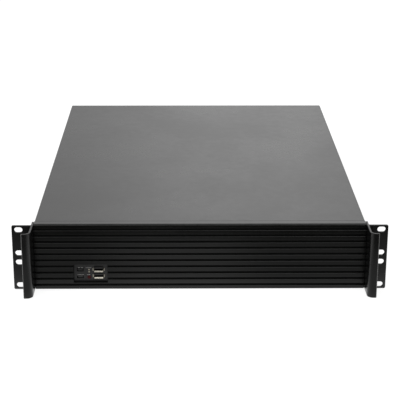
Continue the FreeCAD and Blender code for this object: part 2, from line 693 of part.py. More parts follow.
def handle(label, side):
    """Ear and handle in one extrusion: web along the body, ear, and a lip bent outward."""
    item = body(label)
    web_out = f"({HALF} + dims.handle_wall)"
    lip_tip = f"({HALF} + dims.lip_width)"
    lip_back = "(dims.handle_wall - dims.handle_reach)"
    ear_back = "(dims.ear_front + dims.ear_thickness)"
    corners = [
        (HALF, "dims.web_rear"),
        (HALF, "-dims.handle_reach"),
        (lip_tip, "-dims.handle_reach"),
        (lip_tip, lip_back),
        (web_out, lip_back),
        (web_out, "dims.ear_front"),
        ("dims.rack_width / 2", "dims.ear_front"),
        ("dims.rack_width / 2", ear_back),
        (web_out, ear_back),
        (web_out, "dims.web_rear"),
    ]
    placed = [(f"{side} * {across}", up) for across, up in corners]
    pad(item, outline(sketch(item, "XY_Plane"), placed), "dims.rack_height")
    slots = sketch(item, "XZ_Plane", "dims.ear_front")
    middle = "dims.rack_height / 2"
    levels = ["dims.slot_edge", "dims.rack_height - dims.slot_edge"]
    levels += [f"{middle} - dims.slot_inner / 2", f"{middle} + dims.slot_inner / 2"]
    for level in levels:
        obround(
            slots,
            f"{side} * (dims.rack_width / 2 - dims.slot_inset)",
            level,
            "dims.slot_length",
            "dims.slot_width",
        )
    pocket(item, slots, "dims.ear_thickness")
    fillet(item, "dims.handle_corner", (2, [placed[1]]))
    fillet(item, "dims.handle_corner - dims.handle_wall", (2, [placed[4]]))
    fillet(item, "dims.lip_round", (2, [placed[2], placed[3]]))
    fillet(item, "dims.web_fillet", (2, [placed[5], placed[8]]))
    holes = sketch(item, "YZ_Plane", f"{side} * {HALF}")
    for up in HANDLE_SCREWS:
        circle(holes, "dims.handle_screw_y", up, "dims.screw_radius")
    pocket(item, holes, "dims.handle_wall - dims.tap_depth", onward=side > 0)
    tip = f"{side} * dims.rack_width / 2"
    fillet(item, "dims.ear_corner", (1, [(tip, "0"), (tip, "dims.rack_height")]))
    return item


# ---------------------------------------------------------------- controls
def io_x(place):
    return f"({IO_LEFT} + {place})"


def io_z(place):
    return f"(dims.io_low + {place})"


def box_outline(drawing, middle_x, middle_z, width, height, grow="0"):
    """Rectangle about a middle point, grown on every side."""
    half_width = f"(({width}) / 2 + {grow})"
    half_height = f"(({height}) / 2 + {grow})"
    return rectangle(
        drawing,
        f"{middle_x} - {half_width}",
        f"{middle_z} - {half_height}",
        f"{middle_x} + {half_width}",
        f"{middle_z} + {half_height}",
    )


LAMPS = [
    ("power_lamp", "dims.lamp_x", "dims.lamp_upper", "dims.lamp_radius"),
    ("drive_lamp", "dims.lamp_x", "dims.lamp_middle", "dims.lamp_radius"),
    ("alarm_lamp", "dims.alarm_x", "dims.alarm_high", "dims.alarm_radius"),
]
BUTTONS = [("power_button", "dims.power_high"), ("reset_button", "dims.reset_high")]
SOCKETS = [("upper", "dims.usb_high"), ("lower", "dims.usb_low")]
POSTS = [
    ("dims.lamp_x - dims.post_left", "dims.lamp_middle"),
    ("dims.lamp_x + dims.post_right", "dims.lamp_middle - dims.post_drop"),
]


def io_plate():
    """Moulded plate in the cut-out, with holes for the controls and posts for their board."""
    item = body("io_plate")
    gap = "dims.io_clearance"
    slab = rectangle(
        sketch(item, "XZ_Plane", "dims.io_recess"),
        f"{IO_LEFT} + {gap}",
        f"dims.io_low + {gap}",
        f"{IO_LEFT} + dims.io_width - {gap}",
        f"dims.io_low + dims.io_height - {gap}",
    )
    pad(item, slab, "dims.panel_thickness - dims.io_recess")
    posts = sketch(item, "XZ_Plane", PLATE_BACK)
    for across, up in POSTS:
        circle(posts, io_x(across), io_z(up), "dims.post_radius")
    pad(item, posts, f"{BOARD} - {PLATE_BACK}")
    holes = sketch(item, "XZ_Plane", "dims.io_recess")
    for _, up in BUTTONS:
        box_outline(
            holes, io_x("dims.button_x"), io_z(up),
            "dims.button_width", "dims.button_height", "dims.button_gap",
        )
    for _, up in SOCKETS:
        box_outline(
            holes, io_x("dims.usb_x"), io_z(up),
            "dims.usb_width", "dims.usb_height", "dims.hole_play",
        )
    for _, across, up, radius in LAMPS:
        circle(holes, io_x(across), io_z(up), f"{radius} + dims.hole_play")
    pocket(item, holes, "dims.panel_thickness - dims.io_recess")
    return item


def button(label, up):
    """Cap with a stem, held in the plate by a collar behind it."""
    item = body(label, io_x("dims.button_x"), "dims.io_recess", io_z(up))
    cap = box_outline(
        sketch(item, "XZ_Plane", "dims.button_sink"),
        "0", "0", "dims.button_width", "dims.button_height",
    )
    depth = "dims.panel_thickness - dims.io_recess"
    pad(item, cap, f"{depth} + dims.collar_gap - dims.button_sink")
    half_width = "dims.button_width / 2"
    half_height = "dims.button_height / 2"
    corners = [
        (f"{across} * {half_width}", f"{up_sign} * {half_height}")
        for across in (-1, 1)
        for up_sign in (-1, 1)
    ]
    fillet(item, "dims.button_round", (1, corners))
    collar = box_outline(
        sketch(item, "XZ_Plane", f"{depth} + dims.collar_gap"),
        "0", "0", "dims.button_width", "dims.button_height", "dims.button_collar",
    )
    pad(item, collar, "dims.collar_depth")
    collar_back = f"({depth} + dims.collar_gap + dims.collar_depth)"
    stem = box_outline(
        sketch(item, "XZ_Plane", collar_back), "0", "0", "dims.stem_width", "dims.stem_height"
    )
    switch_front = f"{BOARD} - dims.io_recess - dims.switch_depth"
    pad(item, stem, f"{switch_front} - {collar_back} - dims.button_travel - dims.stem_gap")
    return item


def switch(label, up):
    """Push switch on the control board behind a button."""
    item = body(label, io_x("dims.button_x"), BOARD, io_z(up))
    block = box_outline(
        sketch(item, "XZ_Plane", "-dims.switch_depth"),
        "0", "0", "dims.switch_width", "dims.switch_height",
    )
    pad(item, block, "dims.switch_depth")
    return item


def flared_tab(reach, side):
    """Corners of a tab that spreads forward from the shell's wall, as (outward, back) pairs."""
    tip = f"({reach} + dims.usb_flare)"
    corners = [
        (reach, "dims.usb_proud"),
        (f"({reach} - dims.usb_tab)", "dims.usb_proud"),
        (f"({tip} - dims.usb_tab)", "0"),
        (tip, "0"),
    ]
    return [(f"{side} * {outward}", back) for outward, back in corners]


def usb_shell(label, up):
    """Folded shell of a USB socket, with four flared tabs round its mouth."""
    item = body(label, io_x("dims.usb_x"), "dims.io_recess - dims.usb_proud", io_z(up))
    outer = box_outline(
        sketch(item, "XZ_Plane", "dims.usb_proud"), "0", "0", "dims.usb_width", "dims.usb_height"
    )
    pad(item, outer, "dims.usb_depth - dims.usb_proud")
    inner = box_outline(
        sketch(item, "XZ_Plane", "dims.usb_proud"), "0", "0",
        "dims.usb_width", "dims.usb_height", "-dims.usb_wall",
    )
    pocket(item, inner, "dims.usb_depth - dims.usb_proud - dims.usb_wall")
    level_tabs = sketch(item, "YZ_Plane")
    side_tabs = sketch(item, "XY_Plane")
    for side in (-1, 1):
        above = flared_tab("dims.usb_height / 2", side)
        outline(level_tabs, [(back, outward) for outward, back in above])
        outline(side_tabs, flared_tab("dims.usb_width / 2", side))
    pad(item, level_tabs, "dims.usb_width - 2 * dims.usb_tab_side", centred=True)
    pad(item, side_tabs, "dims.usb_height - 2 * dims.usb_tab_end", centred=True)
    return item


def usb_tongue(label, up):
    """Insulating tongue with its four contacts' carrier block at the back of the shell."""
    item = body(label, io_x("dims.usb_x"), "dims.io_recess - dims.usb_proud", io_z(up))
    back = "dims.usb_depth - dims.usb_wall"
    carrier = box_outline(
        sketch(item, "XZ_Plane", back), "0", "0",
        "dims.usb_width", "dims.usb_height", "-dims.usb_wall",
    )
    pad(item, carrier, "dims.tongue_block", onward=False)
    tongue = box_outline(
        sketch(item, "XZ_Plane", f"{back} - dims.tongue_block"),
        "0", "dims.tongue_offset", "dims.tongue_width", "dims.tongue_height",
    )
    pad(item, tongue, f"{back} - dims.tongue_block - dims.tongue_inset", onward=False)
    return item


def lamp(label, across, up, radius):
    """Light pipe that runs from the plate back to the control board."""
    item = body(label, io_x(across), "dims.io_recess - dims.lamp_proud", io_z(up))
    pad(
        item,
        circle(sketch(item, "XZ_Plane"), "0", "0", radius),
        f"{BOARD} - dims.io_recess + dims.lamp_proud",
    )
    doc.recompute()
    base = item.Tip
    front = [
        f"Edge{index}"
        for index, edge in enumerate(base.Shape.Edges, start=1)
        if edge.BoundBox.YMax < number(radius)
    ]
    bevel = item.newObject("PartDesign::Chamfer", f"{label}_bevel")
    bevel.Base = (base, front)
    bevel.setExpression("Size", "dims.lamp_bevel")
    item.Tip = bevel
    return item


def io_board():
    """Control board that carries the sockets, switches and light pipes."""
    item = body("io_board")
    margin = "dims.board_inset"
    board = rectangle(
        sketch(item, "XZ_Plane", BOARD),
        f"{IO_LEFT} + {margin}",
        f"dims.io_low + {margin}",
        f"{IO_LEFT} + dims.io_width - {margin}",
        f"dims.io_low + dims.io_height - {margin}",
    )
    pad(item, board, "dims.board_thickness")
    return item


# ---------------------------------------------------------------- fans and their wall
FAN_BACK = "dims.fan_wall_y"
FAN_MIDDLE = f"({FAN_BACK} - dims.fan_depth / 2)"


def fan_x(index):
    return f"(({index} - (dims.fan_count - 1) / 2) * dims.fan_pitch)"


def fan_wall():
    """Folded wall across the case with an air opening and two screw holes for each fan."""
    item = body("fan_wall", "0", FAN_BACK)
    reach = f"({INNER} - dims.fan_wall_side)"
    top = f"({LEDGE_TOP} - dims.sheet - dims.fit_gap)"
    section = [
        ("0", "dims.sheet"),
        ("0", top),
        ("dims.wall_flange", top),
        ("dims.wall_flange", f"{top} - dims.sheet"),
        ("dims.sheet", f"{top} - dims.sheet"),
        ("dims.sheet", "2 * dims.sheet"),
        ("dims.wall_flange", "2 * dims.sheet"),
        ("dims.wall_flange", "dims.sheet"),
    ]
    pad(item, outline(sketch(item, "YZ_Plane"), section), f"2 * {reach}", centred=True)
    fillet(item, OUTER_BEND, (0, [("0", "dims.sheet"), ("0", top)]))
    inside = [("dims.sheet", f"{top} - dims.sheet"), ("dims.sheet", "2 * dims.sheet")]
    fillet(item, "dims.bend", (0, inside))
    openings = sketch(item, "XZ_Plane", "0")
    circle(openings, fan_x(0), FAN_HEIGHT, f"{FAN_BORE} - dims.fan_opening_lap")
    for sign in (-1, 1):
        circle(
            openings,
            f"{fan_x(0)} + {sign} * {FAN_BOLT}",
            f"{FAN_HEIGHT} + {sign} * {FAN_BOLT}",
            "dims.fan_bolt_radius",
        )
    cut = pocket(item, openings, "dims.sheet")
    pattern(item, [cut], "X_Axis", "dims.fan_pitch", "dims.fan_count")
    return item


def fan_frame(index):
    """Square fan housing with a round duct, screw holes, four struts and the motor base."""
    item = body(f"fan_frame_{index + 1}", fan_x(index), FAN_MIDDLE, FAN_HEIGHT)
    half = f"{FAN_SIZE} / 2"
    front = "-dims.fan_depth / 2"
    rear = "dims.fan_depth / 2"
    block = rectangle(sketch(item, "XZ_Plane", front), f"-{half}", f"-{half}", half, half)
    circle(block, "0", "0", FAN_BORE)
    for across in (-1, 1):
        for up in (-1, 1):
            circle(
                block,
                f"{across} * {FAN_BOLT}",
                f"{up} * {FAN_BOLT}",
                "dims.fan_bolt_radius",
            )
    pad(item, block, "dims.fan_depth")
    corners = [(f"{across} * {half}", f"{up} * {half}") for across in (-1, 1) for up in (-1, 1)]
    fillet(item, "dims.fan_corner", (1, corners))
    reach = f"({FAN_BORE} + dims.strut_seat)"
    for across, up in ((reach, "dims.strut_width / 2"), ("dims.strut_width / 2", reach)):
        bar = rectangle(
            sketch(item, "XZ_Plane", rear), f"-{across}", f"-{up}", across, up
        )
        pad(item, bar, "dims.fan_flange", onward=False)
    base = circle(sketch(item, "XZ_Plane", rear), "0", "0", "dims.motor_radius")
    pad(item, base, "dims.fan_flange", onward=False)
    bearing = circle(
        sketch(item, "XZ_Plane", rear), "0", "0", "dims.shaft_radius + dims.shaft_clearance"
    )
    pocket(item, bearing, "dims.fan_flange", onward=False)
    return item


def blade_section(drawing, middle):
    """Curved strip between two arcs about one centre, tilted to the shaft."""
    first = "(90 + dims.blade_pitch_angle - dims.blade_arc_angle / 2)"
    last = "(90 + dims.blade_pitch_angle + dims.blade_arc_angle / 2)"
    away = "dims.blade_curve * cos(dims.blade_arc_angle / 2)"
    centre_across = f"({middle} + {away} * sin(dims.blade_pitch_angle))"
    centre_up = f"(-{away} * cos(dims.blade_pitch_angle))"
    centre = FreeCAD.Vector(number(centre_across), number(centre_up), 0)
    arcs = []
    for radius in ("dims.blade_curve", "(dims.blade_curve + dims.blade_thickness)"):
        ring = Part.Circle(centre, FreeCAD.Vector(0, 0, 1), number(radius))
        start, end = math.radians(number(first)), math.radians(number(last))
        arc = drawing.addGeometry(Part.ArcOfCircle(ring, start, end))
        arcs.append(arc)
        index = drawing.addConstraint(Sketcher.Constraint("Radius", arc, number(radius)))
        drawing.setExpression(f"Constraints[{index}]", radius)
        for point, angle in ((1, first), (2, last)):
            across = f"{centre_across} + {radius} * cos({angle})"
            fix(drawing, arc, point, across, f"{centre_up} + {radius} * sin({angle})")
    hollow, round_side = (drawing.Geometry[arc] for arc in arcs)
    edges = ((1, hollow.StartPoint, round_side.StartPoint), (2, hollow.EndPoint, round_side.EndPoint))
    for point, near, far in edges:
        edge = drawing.addGeometry(Part.LineSegment(near, far))
        drawing.addConstraint(Sketcher.Constraint("Coincident", edge, 1, arcs[0], point))
        drawing.addConstraint(Sketcher.Constraint("Coincident", edge, 2, arcs[1], point))
    return drawing


def fan_rotor(index):
    """Revolved hub with its shaft, and curved blades patterned round it."""
    item = body(f"fan_rotor_{index + 1}", fan_x(index), FAN_MIDDLE, FAN_HEIGHT)
    front = "(dims.hub_setback - dims.fan_depth / 2)"
    back = "(dims.fan_depth / 2 - dims.fan_flange - dims.rotor_clearance)"
    shaft_back = "(dims.fan_depth / 2 - dims.shaft_end)"
    profile = [
        ("0", front),
        ("dims.hub_radius - dims.hub_bevel", front),
        ("dims.hub_radius", f"{front} + dims.hub_bevel"),
        ("dims.hub_radius", back),
        ("dims.shaft_radius", back),
        ("dims.shaft_radius", shaft_back),
        ("0", shaft_back),
    ]
    section = outline(sketch(item, "XY_Plane"), profile)
    hub = item.newObject("PartDesign::Revolution", f"{item.Label}_hub")
    hub.Profile = section
    hub.ReferenceAxis = (section, ["V_Axis"])
    hub.Angle = 360
    root = "(dims.hub_radius - dims.blade_root)"
    curved = blade_section(sketch(item, "YZ_Plane", root), f"({front} + {back}) / 2")
    blade = pad(item, curved, f"{FAN_BORE} - dims.blade_gap - {root}")
    wheel = item.newObject("PartDesign::PolarPattern", f"{item.Label}_wheel")
    wheel.Originals = [blade]
    axis = [line for line in item.Origin.OriginFeatures if line.Role == "Y_Axis"]
    wheel.Axis = (axis[0], [""])
    wheel.Angle = 360
    wheel.setExpression("Occurrences", "dims.blade_count")
    item.Tip = wheel
    return item


# ---------------------------------------------------------------- brackets inside
def drive_cage(index):
    """Folded bracket for drives: two sides with screw slots, a roof and outward feet."""
    middle = cage_x(index)
    item = body(f"drive_cage_{index + 1}", middle, "dims.cage_front", "dims.sheet")
    half = "dims.cage_width / 2"
    outer_path = [(f"{half} + dims.cage_foot", "dims.sheet"), (half, "dims.sheet")]
    outer_path.append((half, "dims.cage_height"))
    inner_path = [(f"{half} - dims.sheet", "dims.cage_height - dims.sheet")]
    inner_path += [(f"{half} - dims.sheet", "0"), (f"{half} + dims.cage_foot", "0")]
    mirrored_outer = [(f"-({across})", up) for across, up in reversed(outer_path)]
    mirrored_inner = [(f"-({across})", up) for across, up in reversed(inner_path)]
    profile = outer_path + mirrored_outer + mirrored_inner + inner_path
    pad(item, outline(sketch(item, "XZ_Plane"), profile), "dims.cage_length")
    slots = sketch(item, "YZ_Plane")
    for up in ("dims.cage_hole_low", "dims.cage_hole_low + dims.cage_drive_pitch"):
        for sign in (-1, 1):
            obround(
                slots,
                f"dims.cage_length / 2 + {sign} * dims.cage_hole_spread / 2",
                up,
                "dims.cage_hole_length",
                "dims.cage_hole_width",
            )
    pocket(item, slots, "dims.cage_width + 2 * dims.notch_play", centred=True)
    feet = sketch(item, "XY_Plane")
    for sign in (-1, 1):
        across, along = cage_screw(index, sign)
        circle(
            feet, f"{across} - {middle}", f"{along} - dims.cage_front", CLEARANCE_HOLE
        )
    pocket(item, feet, "dims.sheet", onward=True)
    return item


def psu_cradle():
    """Open channel behind the power supply opening, screwed to the tray."""
    length = "dims.cradle_length"
    start = f"({REAR} - dims.sheet - dims.wall_flange - dims.fit_gap - {length})"
    middle = f"(({POWER_LEFT} + {POWER_RIGHT}) / 2)"
    item = body("psu_cradle", middle, start, "dims.sheet")
    half = f"(({POWER_RIGHT} - {POWER_LEFT}) / 2 + dims.cradle_margin)"
    path = [(half, "0"), (half, "dims.cradle_height")]
    path.append((f"{half} - dims.sheet", "dims.cradle_height"))
    path.append((f"{half} - dims.sheet", "dims.sheet"))
    mirrored = [(f"-({across})", up) for across, up in reversed(path)]
    pad(item, outline(sketch(item, "XZ_Plane"), path + mirrored), length)
    return item


def slot_rail():
    """Shelf for the slot covers' tabs, with a stiffening fold and a foot at each end."""
    item = body("slot_rail", "0", f"{REAR} - dims.sheet", SLOT_TOP)
    left = f"(dims.sheet - {INNER})"
    inner_right = f"({SLOT_LAST} + dims.cover_plate_width / 2 + dims.fit_gap)"
    right = f"({inner_right} + dims.rail_foot)"
    back = "-dims.cover_plate_sheet"
    front = f"({back} - dims.cover_plate_tab)"
    shelf = [
        (left, front),
        (right, front),
        (right, "0"),
        (inner_right, "0"),
        (inner_right, back),
        (left, back),
    ]
    pad(item, outline(sketch(item, "XY_Plane"), shelf), "dims.sheet", onward=False)
    fold = rectangle(sketch(item, "XZ_Plane", front), left, "-dims.rail_fold", right, "0")
    pad(item, fold, "dims.sheet")
    foot = rectangle(sketch(item, "XZ_Plane"), inner_right, "-dims.rail_fold", right, "0")
    pad(item, foot, "dims.sheet", onward=False)
    side = rectangle(sketch(item, "YZ_Plane", left), front, "-dims.rail_fold", back, "0")
    pad(item, side, "dims.sheet")
    holes = sketch(item, "XY_Plane")
    circle(holes, SLOT_FIRST, f"{back} - dims.cover_plate_tab / 2", "dims.screw_radius")
    cut = pocket(item, holes, "dims.sheet", onward=False)
    pattern(item, [cut], "X_Axis", "dims.slot_pitch", "dims.slot_count")
    return item


def slot_cover(index):
    """Blank plate with a tab folded over the rail."""
    middle = f"({SLOT_FIRST} + {index} * dims.slot_pitch)"
    item = body(f"slot_cover_{index + 1}", middle, f"{REAR} - dims.sheet")
    half = "dims.cover_plate_width / 2"
    low = "(dims.slot_open_low - dims.cover_plate_over)"
    sheet = "dims.cover_plate_sheet"
    section = [
        ("0", low),
        ("0", f"{SLOT_TOP} + {sheet}"),
        (f"-{sheet} - dims.cover_plate_tab", f"{SLOT_TOP} + {sheet}"),
        (f"-{sheet} - dims.cover_plate_tab", SLOT_TOP),
        (f"-{sheet}", SLOT_TOP),
        (f"-{sheet}", low),
    ]
    pad(item, outline(sketch(item, "YZ_Plane"), section), f"2 * {half}", centred=True)
    reach = CLEARANCE_HOLE
    hole = f"-{sheet} - dims.cover_plate_tab / 2"
    notch = rectangle(
        sketch(item, "XY_Plane", SLOT_TOP), f"-{reach}", f"{hole} - {reach}", half, f"{hole} + {reach}"
    )
    pocket(item, notch, sheet, onward=True)
    return item


# ---------------------------------------------------------------- stand-offs and screws
def hexagon(drawing, across, up, flats):
    """Regular hexagon about a middle point, given by the distance across its flats."""
    radius = f"({flats}) / sqrt(3)"
    corners = [
        (
            f"{across} + {radius} * {round(math.cos(math.radians(60 * corner)), 9)}",
            f"{up} + {radius} * {round(math.sin(math.radians(60 * corner)), 9)}",
        )
        for corner in range(6)
    ]
    return outline(drawing, corners)


def standoffs():
    """Hexagonal stand-offs for a main board, on the board's own hole pattern."""
    rear = f"({REAR} - dims.sheet - dims.standoff_rear)"
    item = body("standoffs", STANDOFF_LEFT, rear, "dims.sheet", several=True)
    columns = ("0", "dims.board_column_2", BOARD_RIGHT)
    rows = ("0", "-dims.board_row_2", "-dims.board_row_3")
    posts = sketch(item, "XY_Plane")
    for column in columns:
        for row in rows:
            hexagon(posts, column, row, "dims.standoff_across")
            circle(posts, column, row, "dims.standoff_hole")
    pad(item, posts, "dims.standoff_height")
    return item


def screws(label, plane, seat, into, places, length, six_sided=True):
    """Group of like screws: heads on the seat level, shanks running on from it."""
    item = body(label, several=True)
    shanks = sketch(item, plane, seat)
    heads = sketch(item, plane, seat)
    for across, up in places:
        circle(shanks, across, up, "dims.screw_radius")
        if six_sided:
            hexagon(heads, across, up, "2 * dims.head_radius")
        else:
            circle(heads, across, up, "dims.head_radius")
    pad(item, heads, "dims.head_height", onward=not into)
    pad(item, shanks, length, onward=into)
    return item


def cover_screws():
    """Round-headed screws that hold the cover's rear lip."""
    height = f"{COVER_TOP} - dims.lip_screw_drop"
    places = [(f"{side} * {LIP_SCREW_X}", height) for side in (-1, 1)]
    length = "dims.cover_screw_length"
    return screws("cover_screws", "XZ_Plane", "dims.case_depth", False, places, length, False)


def panel_screws():
    """Screws from inside, through the front frame into the panel."""
    seat = f"{WALL} + dims.sheet"
    length = "dims.sheet + dims.panel_screw_depth"
    return screws("panel_screws", "XZ_Plane", seat, False, PANEL_SCREWS, length)


def fan_screws():
    """Two screws for each fan, in opposite corners."""
    places = []
    for index in range(count("fan_count")):
        for sign in (-1, 1):
            middle = f"{fan_x(index)} + {sign} * {FAN_BOLT}"
            places.append((middle, f"{FAN_HEIGHT} + {sign} * {FAN_BOLT}"))
    seat = f"{FAN_BACK} + dims.sheet"
    return screws("fan_screws", "XZ_Plane", seat, False, places, "dims.fan_screw_length")


def handle_screws(label, side):
    """Screws from inside the tray, through its wall and the front frame, into the handle."""
    seat = f"{side} * ({INNER} - dims.sheet)"
    places = [("dims.handle_screw_y", up) for up in HANDLE_SCREWS]
    length = "2 * dims.sheet + dims.fit_gap + dims.handle_wall - 2 * dims.tap_depth"
    return screws(label, "YZ_Plane", seat, side > 0, places, length)


def slot_screws():
    """One screw through each slot cover's tab into the rail."""
    behind = f"{REAR} - dims.sheet - dims.cover_plate_sheet - dims.cover_plate_tab / 2"
    places = [
        (f"{SLOT_FIRST} + {index} * dims.slot_pitch", behind)
        for index in range(count("slot_count"))
    ]
    seat = f"{SLOT_TOP} + dims.cover_plate_sheet"
    return screws("slot_screws", "XY_Plane", seat, False, places, "dims.slot_screw_length")


def cage_screws():
    """Two screws through the feet of each drive cage into the tray."""
    cages = range(count("cage_count"))
    places = [cage_screw(index, sign) for index in cages for sign in (-1, 1)]
    length = "2 * dims.sheet - dims.screw_stop"
    return screws("cage_screws", "XY_Plane", "2 * dims.sheet", False, places, length)


for builder in (base_tray, front_frame, rear_panel, top_cover, front_panel):
    builder()
handle("left_handle", -1)
handle("right_handle", 1)
io_plate()
for label, up in BUTTONS:
    button(label, up)
    switch(label.replace("button", "switch"), up)
for name, up in SOCKETS:
    usb_shell(f"usb_shell_{name}", up)
    usb_tongue(f"usb_tongue_{name}", up)
for lamp_sizes in LAMPS:
    lamp(*lamp_sizes)
io_board()
fan_wall()
for index in range(count("fan_count")):
    fan_frame(index)
    fan_rotor(index)
for index in range(count("cage_count")):
    drive_cage(index)
psu_cradle()
slot_rail()
for index in range(count("slot_count")):
    slot_cover(index)
standoffs()
cover_screws()
panel_screws()
fan_screws()
handle_screws("left_handle_screws", -1)
handle_screws("right_handle_screws", 1)
slot_screws()
cage_screws()

doc.recompute()

# ---------------------------------------------------------------- check and export
for item in doc.Objects:
    if "Invalid" in item.State or "Error" in item.State:
        raise RuntimeError(f"{item.Name} failed: {item.State}")
for item in parts:
    if item.Shape.isNull() or not item.Shape.isValid():
        raise RuntimeError(f"{item.Label} has no valid shape")
os.makedirs("parts", exist_ok=True)
for item in parts:
    item.Shape.exportStep(f"parts/{item.Label}.step")
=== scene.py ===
"""Looks of the rackmount server case: its finishes, ribbed panel, controls, fasteners, studio and camera."""

import json
import logging
import math
from collections.abc import Callable, Sequence
from dataclasses import dataclass
from enum import Enum
from typing import Any

import bmesh
import bpy
from mathutils import Matrix, Vector

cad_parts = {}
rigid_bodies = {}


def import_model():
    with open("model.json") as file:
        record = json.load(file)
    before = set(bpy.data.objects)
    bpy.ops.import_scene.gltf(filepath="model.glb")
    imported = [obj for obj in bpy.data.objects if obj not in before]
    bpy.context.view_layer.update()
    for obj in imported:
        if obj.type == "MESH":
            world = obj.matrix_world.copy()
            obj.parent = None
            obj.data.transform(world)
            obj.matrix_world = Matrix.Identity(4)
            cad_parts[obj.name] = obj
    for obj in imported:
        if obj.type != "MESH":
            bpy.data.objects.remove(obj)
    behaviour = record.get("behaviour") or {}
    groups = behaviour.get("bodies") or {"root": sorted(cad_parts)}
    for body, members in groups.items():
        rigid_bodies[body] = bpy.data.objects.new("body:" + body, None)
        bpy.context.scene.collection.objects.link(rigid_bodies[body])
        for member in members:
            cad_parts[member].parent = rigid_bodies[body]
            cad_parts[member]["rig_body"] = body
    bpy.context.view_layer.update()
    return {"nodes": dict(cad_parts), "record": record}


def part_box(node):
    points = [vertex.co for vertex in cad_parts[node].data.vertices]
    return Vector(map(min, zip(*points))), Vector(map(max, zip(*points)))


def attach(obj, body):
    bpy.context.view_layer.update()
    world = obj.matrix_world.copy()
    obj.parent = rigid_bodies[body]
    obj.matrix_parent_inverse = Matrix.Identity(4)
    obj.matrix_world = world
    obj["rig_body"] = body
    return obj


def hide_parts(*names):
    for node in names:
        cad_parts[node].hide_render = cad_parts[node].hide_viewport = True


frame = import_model()

LOG = logging.getLogger("server_case")
MM = 0.001
# reach within which points are merged, in a made piece and in a copy of a CAD node
WELD = 0.001 * MM
MERGE = 0.002 * MM
# reach within which a point lies on a plane, and digits kept of a length in metres
TOUCH = 0.01 * MM
DIGITS = 6
# degrees up to which neighbouring faces are one flat face, and how far flat faces decide the shading
FLAT_ANGLE = 0.5
FLAT_FACE_WEIGHT = 100
# scale of a directed grain along its run, as a share of its scale across
STRETCH = 0.012
WHITE = (1.0, 1.0, 1.0, 1.0)

Triple = tuple[float, float, float]
Piece = bpy.types.Object
Shape = bmesh.types.BMesh
Output = bpy.types.Node | bpy.types.NodeSocket


# ---------- node trees
class Graph:
    """Short way to write a shader or geometry node tree."""

    def __init__(self, tree: bpy.types.NodeTree) -> None:
        """Keep a shader or geometry node tree and empty it."""
        self.tree = tree
        self.tree.nodes.clear()

    def add(self, kind: str, inputs: dict[Any, Any] | None = None, **settings: Any) -> bpy.types.Node:
        """Add a node, set its properties, and link or set its inputs.

        Args:
            kind: node type, such as ShaderNodeTexNoise.
            inputs: socket name or index to a value, or to the output that it is linked to.
            **settings: node properties, set before the inputs.

        Returns:
            The new node.
        """
        node = self.tree.nodes.new(kind)
        for name, value in settings.items():
            setattr(node, name, value)
        for key, value in (inputs or {}).items():
            self.feed(node.inputs[key], value)
        return node

    def feed(self, socket: bpy.types.NodeSocket, value: Any) -> None:
        """Link or set one input.

        Args:
            socket: input socket.
            value: output socket, node whose first output is meant, or a value to set.
        """
        if isinstance(value, bpy.types.Node):
            value = value.outputs[0]
        if isinstance(value, bpy.types.NodeSocket):
            self.tree.links.new(value, socket)
        else:
            socket.default_value = value

    def math(self, operation: str, *terms: Any) -> Output:
        """Result of a math operation on values or outputs."""
        return self.add("ShaderNodeMath", dict(enumerate(terms)), operation=operation)

    def plus(self, first: Any, second: Any) -> Output:
        """Sum of two values or outputs."""
        return self.math("ADD", first, second)

    def minus(self, first: Any, second: Any) -> Output:
        """Difference of two values or outputs."""
        return self.math("SUBTRACT", first, second)

    def times(self, first: Any, second: Any) -> Output:
        """Product of two values or outputs."""
        return self.math("MULTIPLY", first, second)

    def ramp(self, value: Any, start: float, end: float, low: float, high: float) -> Output:
        """Smooth step from low, where the value is at the start, to high, where it is at the end."""
        inputs = {"Value": value, "From Min": start, "From Max": end, "To Min": low, "To Max": high}
        return self.add("ShaderNodeMapRange", inputs, interpolation_type="SMOOTHSTEP")

    def noise(self, place: Output, scale: float, octaves: float) -> Output:
        """Noise from 0 to 1, with its scale in repeats per metre."""
        return self.add("ShaderNodeTexNoise", {"Vector": place, "Scale": scale, "Detail": octaves})

    def blend(self, factor: Any, first: Any, second: Any) -> Output:
        """Colour between the first, at factor 0, and the second, at 1."""
        return self.add("ShaderNodeMix", {0: factor, 6: first, 7: second}, data_type="RGBA").outputs[2]

    def pick(self, index: Any, values: Sequence[Any]) -> Output:
        """Value from a list by its place.

        Args:
            index: place in the list, from 0.
            values: values or outputs.

        Returns:
            The value there.
        """
        node = self.add("GeometryNodeIndexSwitch", data_type="FLOAT")
        for _ in range(len(values) - len(node.index_switch_items)):
            node.index_switch_items.new()
        self.feed(node.inputs["Index"], index)
        for place, value in enumerate(values):
            self.feed(node.inputs[str(place)], value)
        return node

    def point(self, x: Any = 0.0, y: Any = 0.0, z: Any = 0.0) -> Output:
        """Vector from three values or outputs."""
        return self.add("ShaderNodeCombineXYZ", {"X": x, "Y": y, "Z": z})


